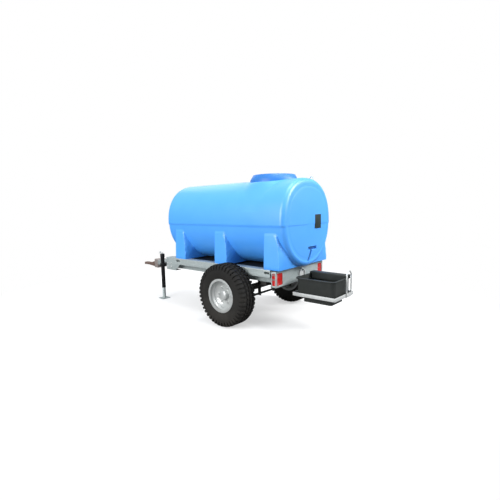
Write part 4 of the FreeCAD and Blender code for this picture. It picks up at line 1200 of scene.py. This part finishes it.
@dataclass
class Studio:
    """Camera, pale floor and soft lights."""

    eye: Colour = (-3.864, 3.774, 1.492)
    heading: float = -0.857
    dip: float = 0.123
    roll: float = -0.02
    lens: float = 24.93
    sensor: float = 36.0
    floor_half: float = 40.0
    floor_tone: float = 0.95
    bounce: float = 0.16
    haze: float = 0.5
    clearing: tuple[float, float] = (2.2, 4.2)
    sky: float = 0.80
    sky_span: tuple[float, float] = (-0.1, 0.9)
    sky_low: Colour = (0.26, 0.27, 0.28)
    sky_high: Colour = (1.05, 1.10, 1.16)
    aim: Colour = (-0.4, 0, 0.9)
    lights: tuple[tuple[str, Colour, float, float], ...] = (
        ("key", (-0.2, 7.5, 3.4), 600, 4.0),
        ("rear", (-6.5, -2.6, 4.8), 640, 3.0),
        ("overhead", (-2.5, 0.0, 9.0), 400, 3.5),
        ("back", (4.0, -3.0, 5.0), 60, 4.0))

    def camera(self) -> None:
        """Make the camera at its standpoint."""
        cos_dip = math.cos(self.dip)
        ahead = Vector((cos_dip * math.cos(self.heading), cos_dip * math.sin(self.heading),
                        -math.sin(self.dip)))
        right = Vector((math.sin(self.heading), -math.cos(self.heading), 0.0))
        above = right.cross(ahead)
        tilted = math.cos(self.roll) * right + math.sin(self.roll) * above
        upper = -math.sin(self.roll) * right + math.cos(self.roll) * above
        data = bpy.data.cameras.new("camera")
        data.lens = self.lens
        data.sensor_width = self.sensor
        camera = bpy.data.objects.new("camera", data)
        turn = Matrix((tilted, upper, -ahead)).transposed().to_4x4()
        camera.matrix_world = Matrix.Translation(self.eye) @ turn
        show(camera)
        bpy.context.scene.camera = camera

    def light(self, name: str, at: Sequence[float], power: float, size: float) -> None:
        """Put up a soft square light aimed at the tank.

        Args:
            name: The light's name.
            at: Its place.
            power: Its power in watts.
            size: Its side.
        """
        data = bpy.data.lights.new(name, "AREA")
        data.energy = power
        data.size = size
        lamp = bpy.data.objects.new(name, data)
        lamp.location = at
        lamp.rotation_euler = (Vector(self.aim) - Vector(at)).to_track_quat("-Z", "Y").to_euler()
        show(lamp)

    def floor(self) -> None:
        """Lay a wide floor: white to the camera, with soft shadow and little bounced light."""
        half = self.floor_half
        corners = [(-half, -half, 0), (half, -half, 0), (half, half, 0), (-half, half, 0)]
        mesh = mesh_of(corners, [(0, 1, 2, 3)], "floor")
        floor = bpy.data.objects.new("floor", mesh)
        material = bpy.data.materials.new("pale_floor")
        material.use_nodes = True
        tree = material.node_tree
        shader = tree.nodes["Principled BSDF"]
        shader.inputs["Roughness"].default_value = 0.9
        shader.inputs["Specular IOR Level"].default_value = 0.1
        path = new_node(tree, "ShaderNodeLightPath")
        seen = path.outputs["Is Camera Ray"]
        tone = mixed(tree, (self.bounce,) * 3, (self.floor_tone,) * 3)
        place = new_node(tree, "ShaderNodeTexCoord")
        distance = new_node(tree, "ShaderNodeVectorMath", operation="LENGTH")
        fade = new_node(tree, "ShaderNodeMapRange", {
            "From Min": self.clearing[0], "From Max": self.clearing[1], "To Min": self.haze},
            interpolation_type="SMOOTHSTEP")
        white = new_node(tree, "ShaderNodeEmission")
        share = new_node(tree, "ShaderNodeMath", operation="MULTIPLY")
        mix = new_node(tree, "ShaderNodeMixShader")
        wire(tree, (seen, tone.inputs[0]), (tone.outputs[2], shader.inputs["Base Color"]),
             (place.outputs["Object"], distance.inputs[0]),
             (distance.outputs["Value"], fade.inputs["Value"]), (fade.outputs[0], share.inputs[0]),
             (seen, share.inputs[1]), (share.outputs[0], mix.inputs[0]),
             (shader.outputs[0], mix.inputs[1]), (white.outputs[0], mix.inputs[2]),
             (mix.outputs[0], tree.nodes["Material Output"].inputs[0]))
        mesh.materials.append(material)
        show(floor)

    def world(self) -> None:
        """Make surroundings that are white to the camera and a sky brighter overhead to the rest."""
        world = bpy.data.worlds.new("studio")
        bpy.context.scene.world = world
        world.use_nodes = True
        tree = world.node_tree
        back = tree.nodes["Background"]
        back.inputs["Strength"].default_value = self.sky
        place = new_node(tree, "ShaderNodeTexCoord")
        split = new_node(tree, "ShaderNodeSeparateXYZ")
        height = new_node(
            tree, "ShaderNodeMapRange", {"From Min": self.sky_span[0], "From Max": self.sky_span[1]})
        tone = mixed(tree, self.sky_low, self.sky_high)
        white = new_node(tree, "ShaderNodeBackground", {"Strength": 1.0, "Color": (1, 1, 1, 1)})
        path = new_node(tree, "ShaderNodeLightPath")
        mix = new_node(tree, "ShaderNodeMixShader")
        wire(tree, (place.outputs["Generated"], split.inputs[0]),
             (split.outputs["Z"], height.inputs["Value"]), (height.outputs[0], tone.inputs[0]),
             (tone.outputs[2], back.inputs["Color"]), (path.outputs["Is Camera Ray"], mix.inputs[0]),
             (back.outputs[0], mix.inputs[1]), (white.outputs[0], mix.inputs[2]),
             (mix.outputs[0], tree.nodes["World Output"].inputs[0]))

    def build(self) -> None:
        """Set the stage."""
        self.camera()
        self.floor()
        self.world()
        for light in self.lights:
            self.light(*light)
        bpy.context.scene.view_settings.view_transform = "Standard"


def main() -> None:
    """Build every sub-assembly in order."""
    logging.basicConfig(level=logging.INFO, format="%(message)s")
    GROUPS["grain"] = grain_group()
    GROUPS["spangle"] = spangle_group()
    GROUPS["dust"] = dust_group()
    MATERIALS.update({key: finish.build() for key, finish in FINISHES.items()})
    Studio().build()
    Tank().build()
    tree = ring_tree()
    for side, sign, body in (("left", 1, Body.WHEEL_LEFT), ("right", -1, Body.WHEEL_RIGHT)):
        Wheel(side, sign, body, tree).build()
    chassis = Frame()
    chassis.build()
    chassis.bolts()
    Lamps(row_tree()).build()
    Trough().build()


if __name__ == "__main__":
    main()
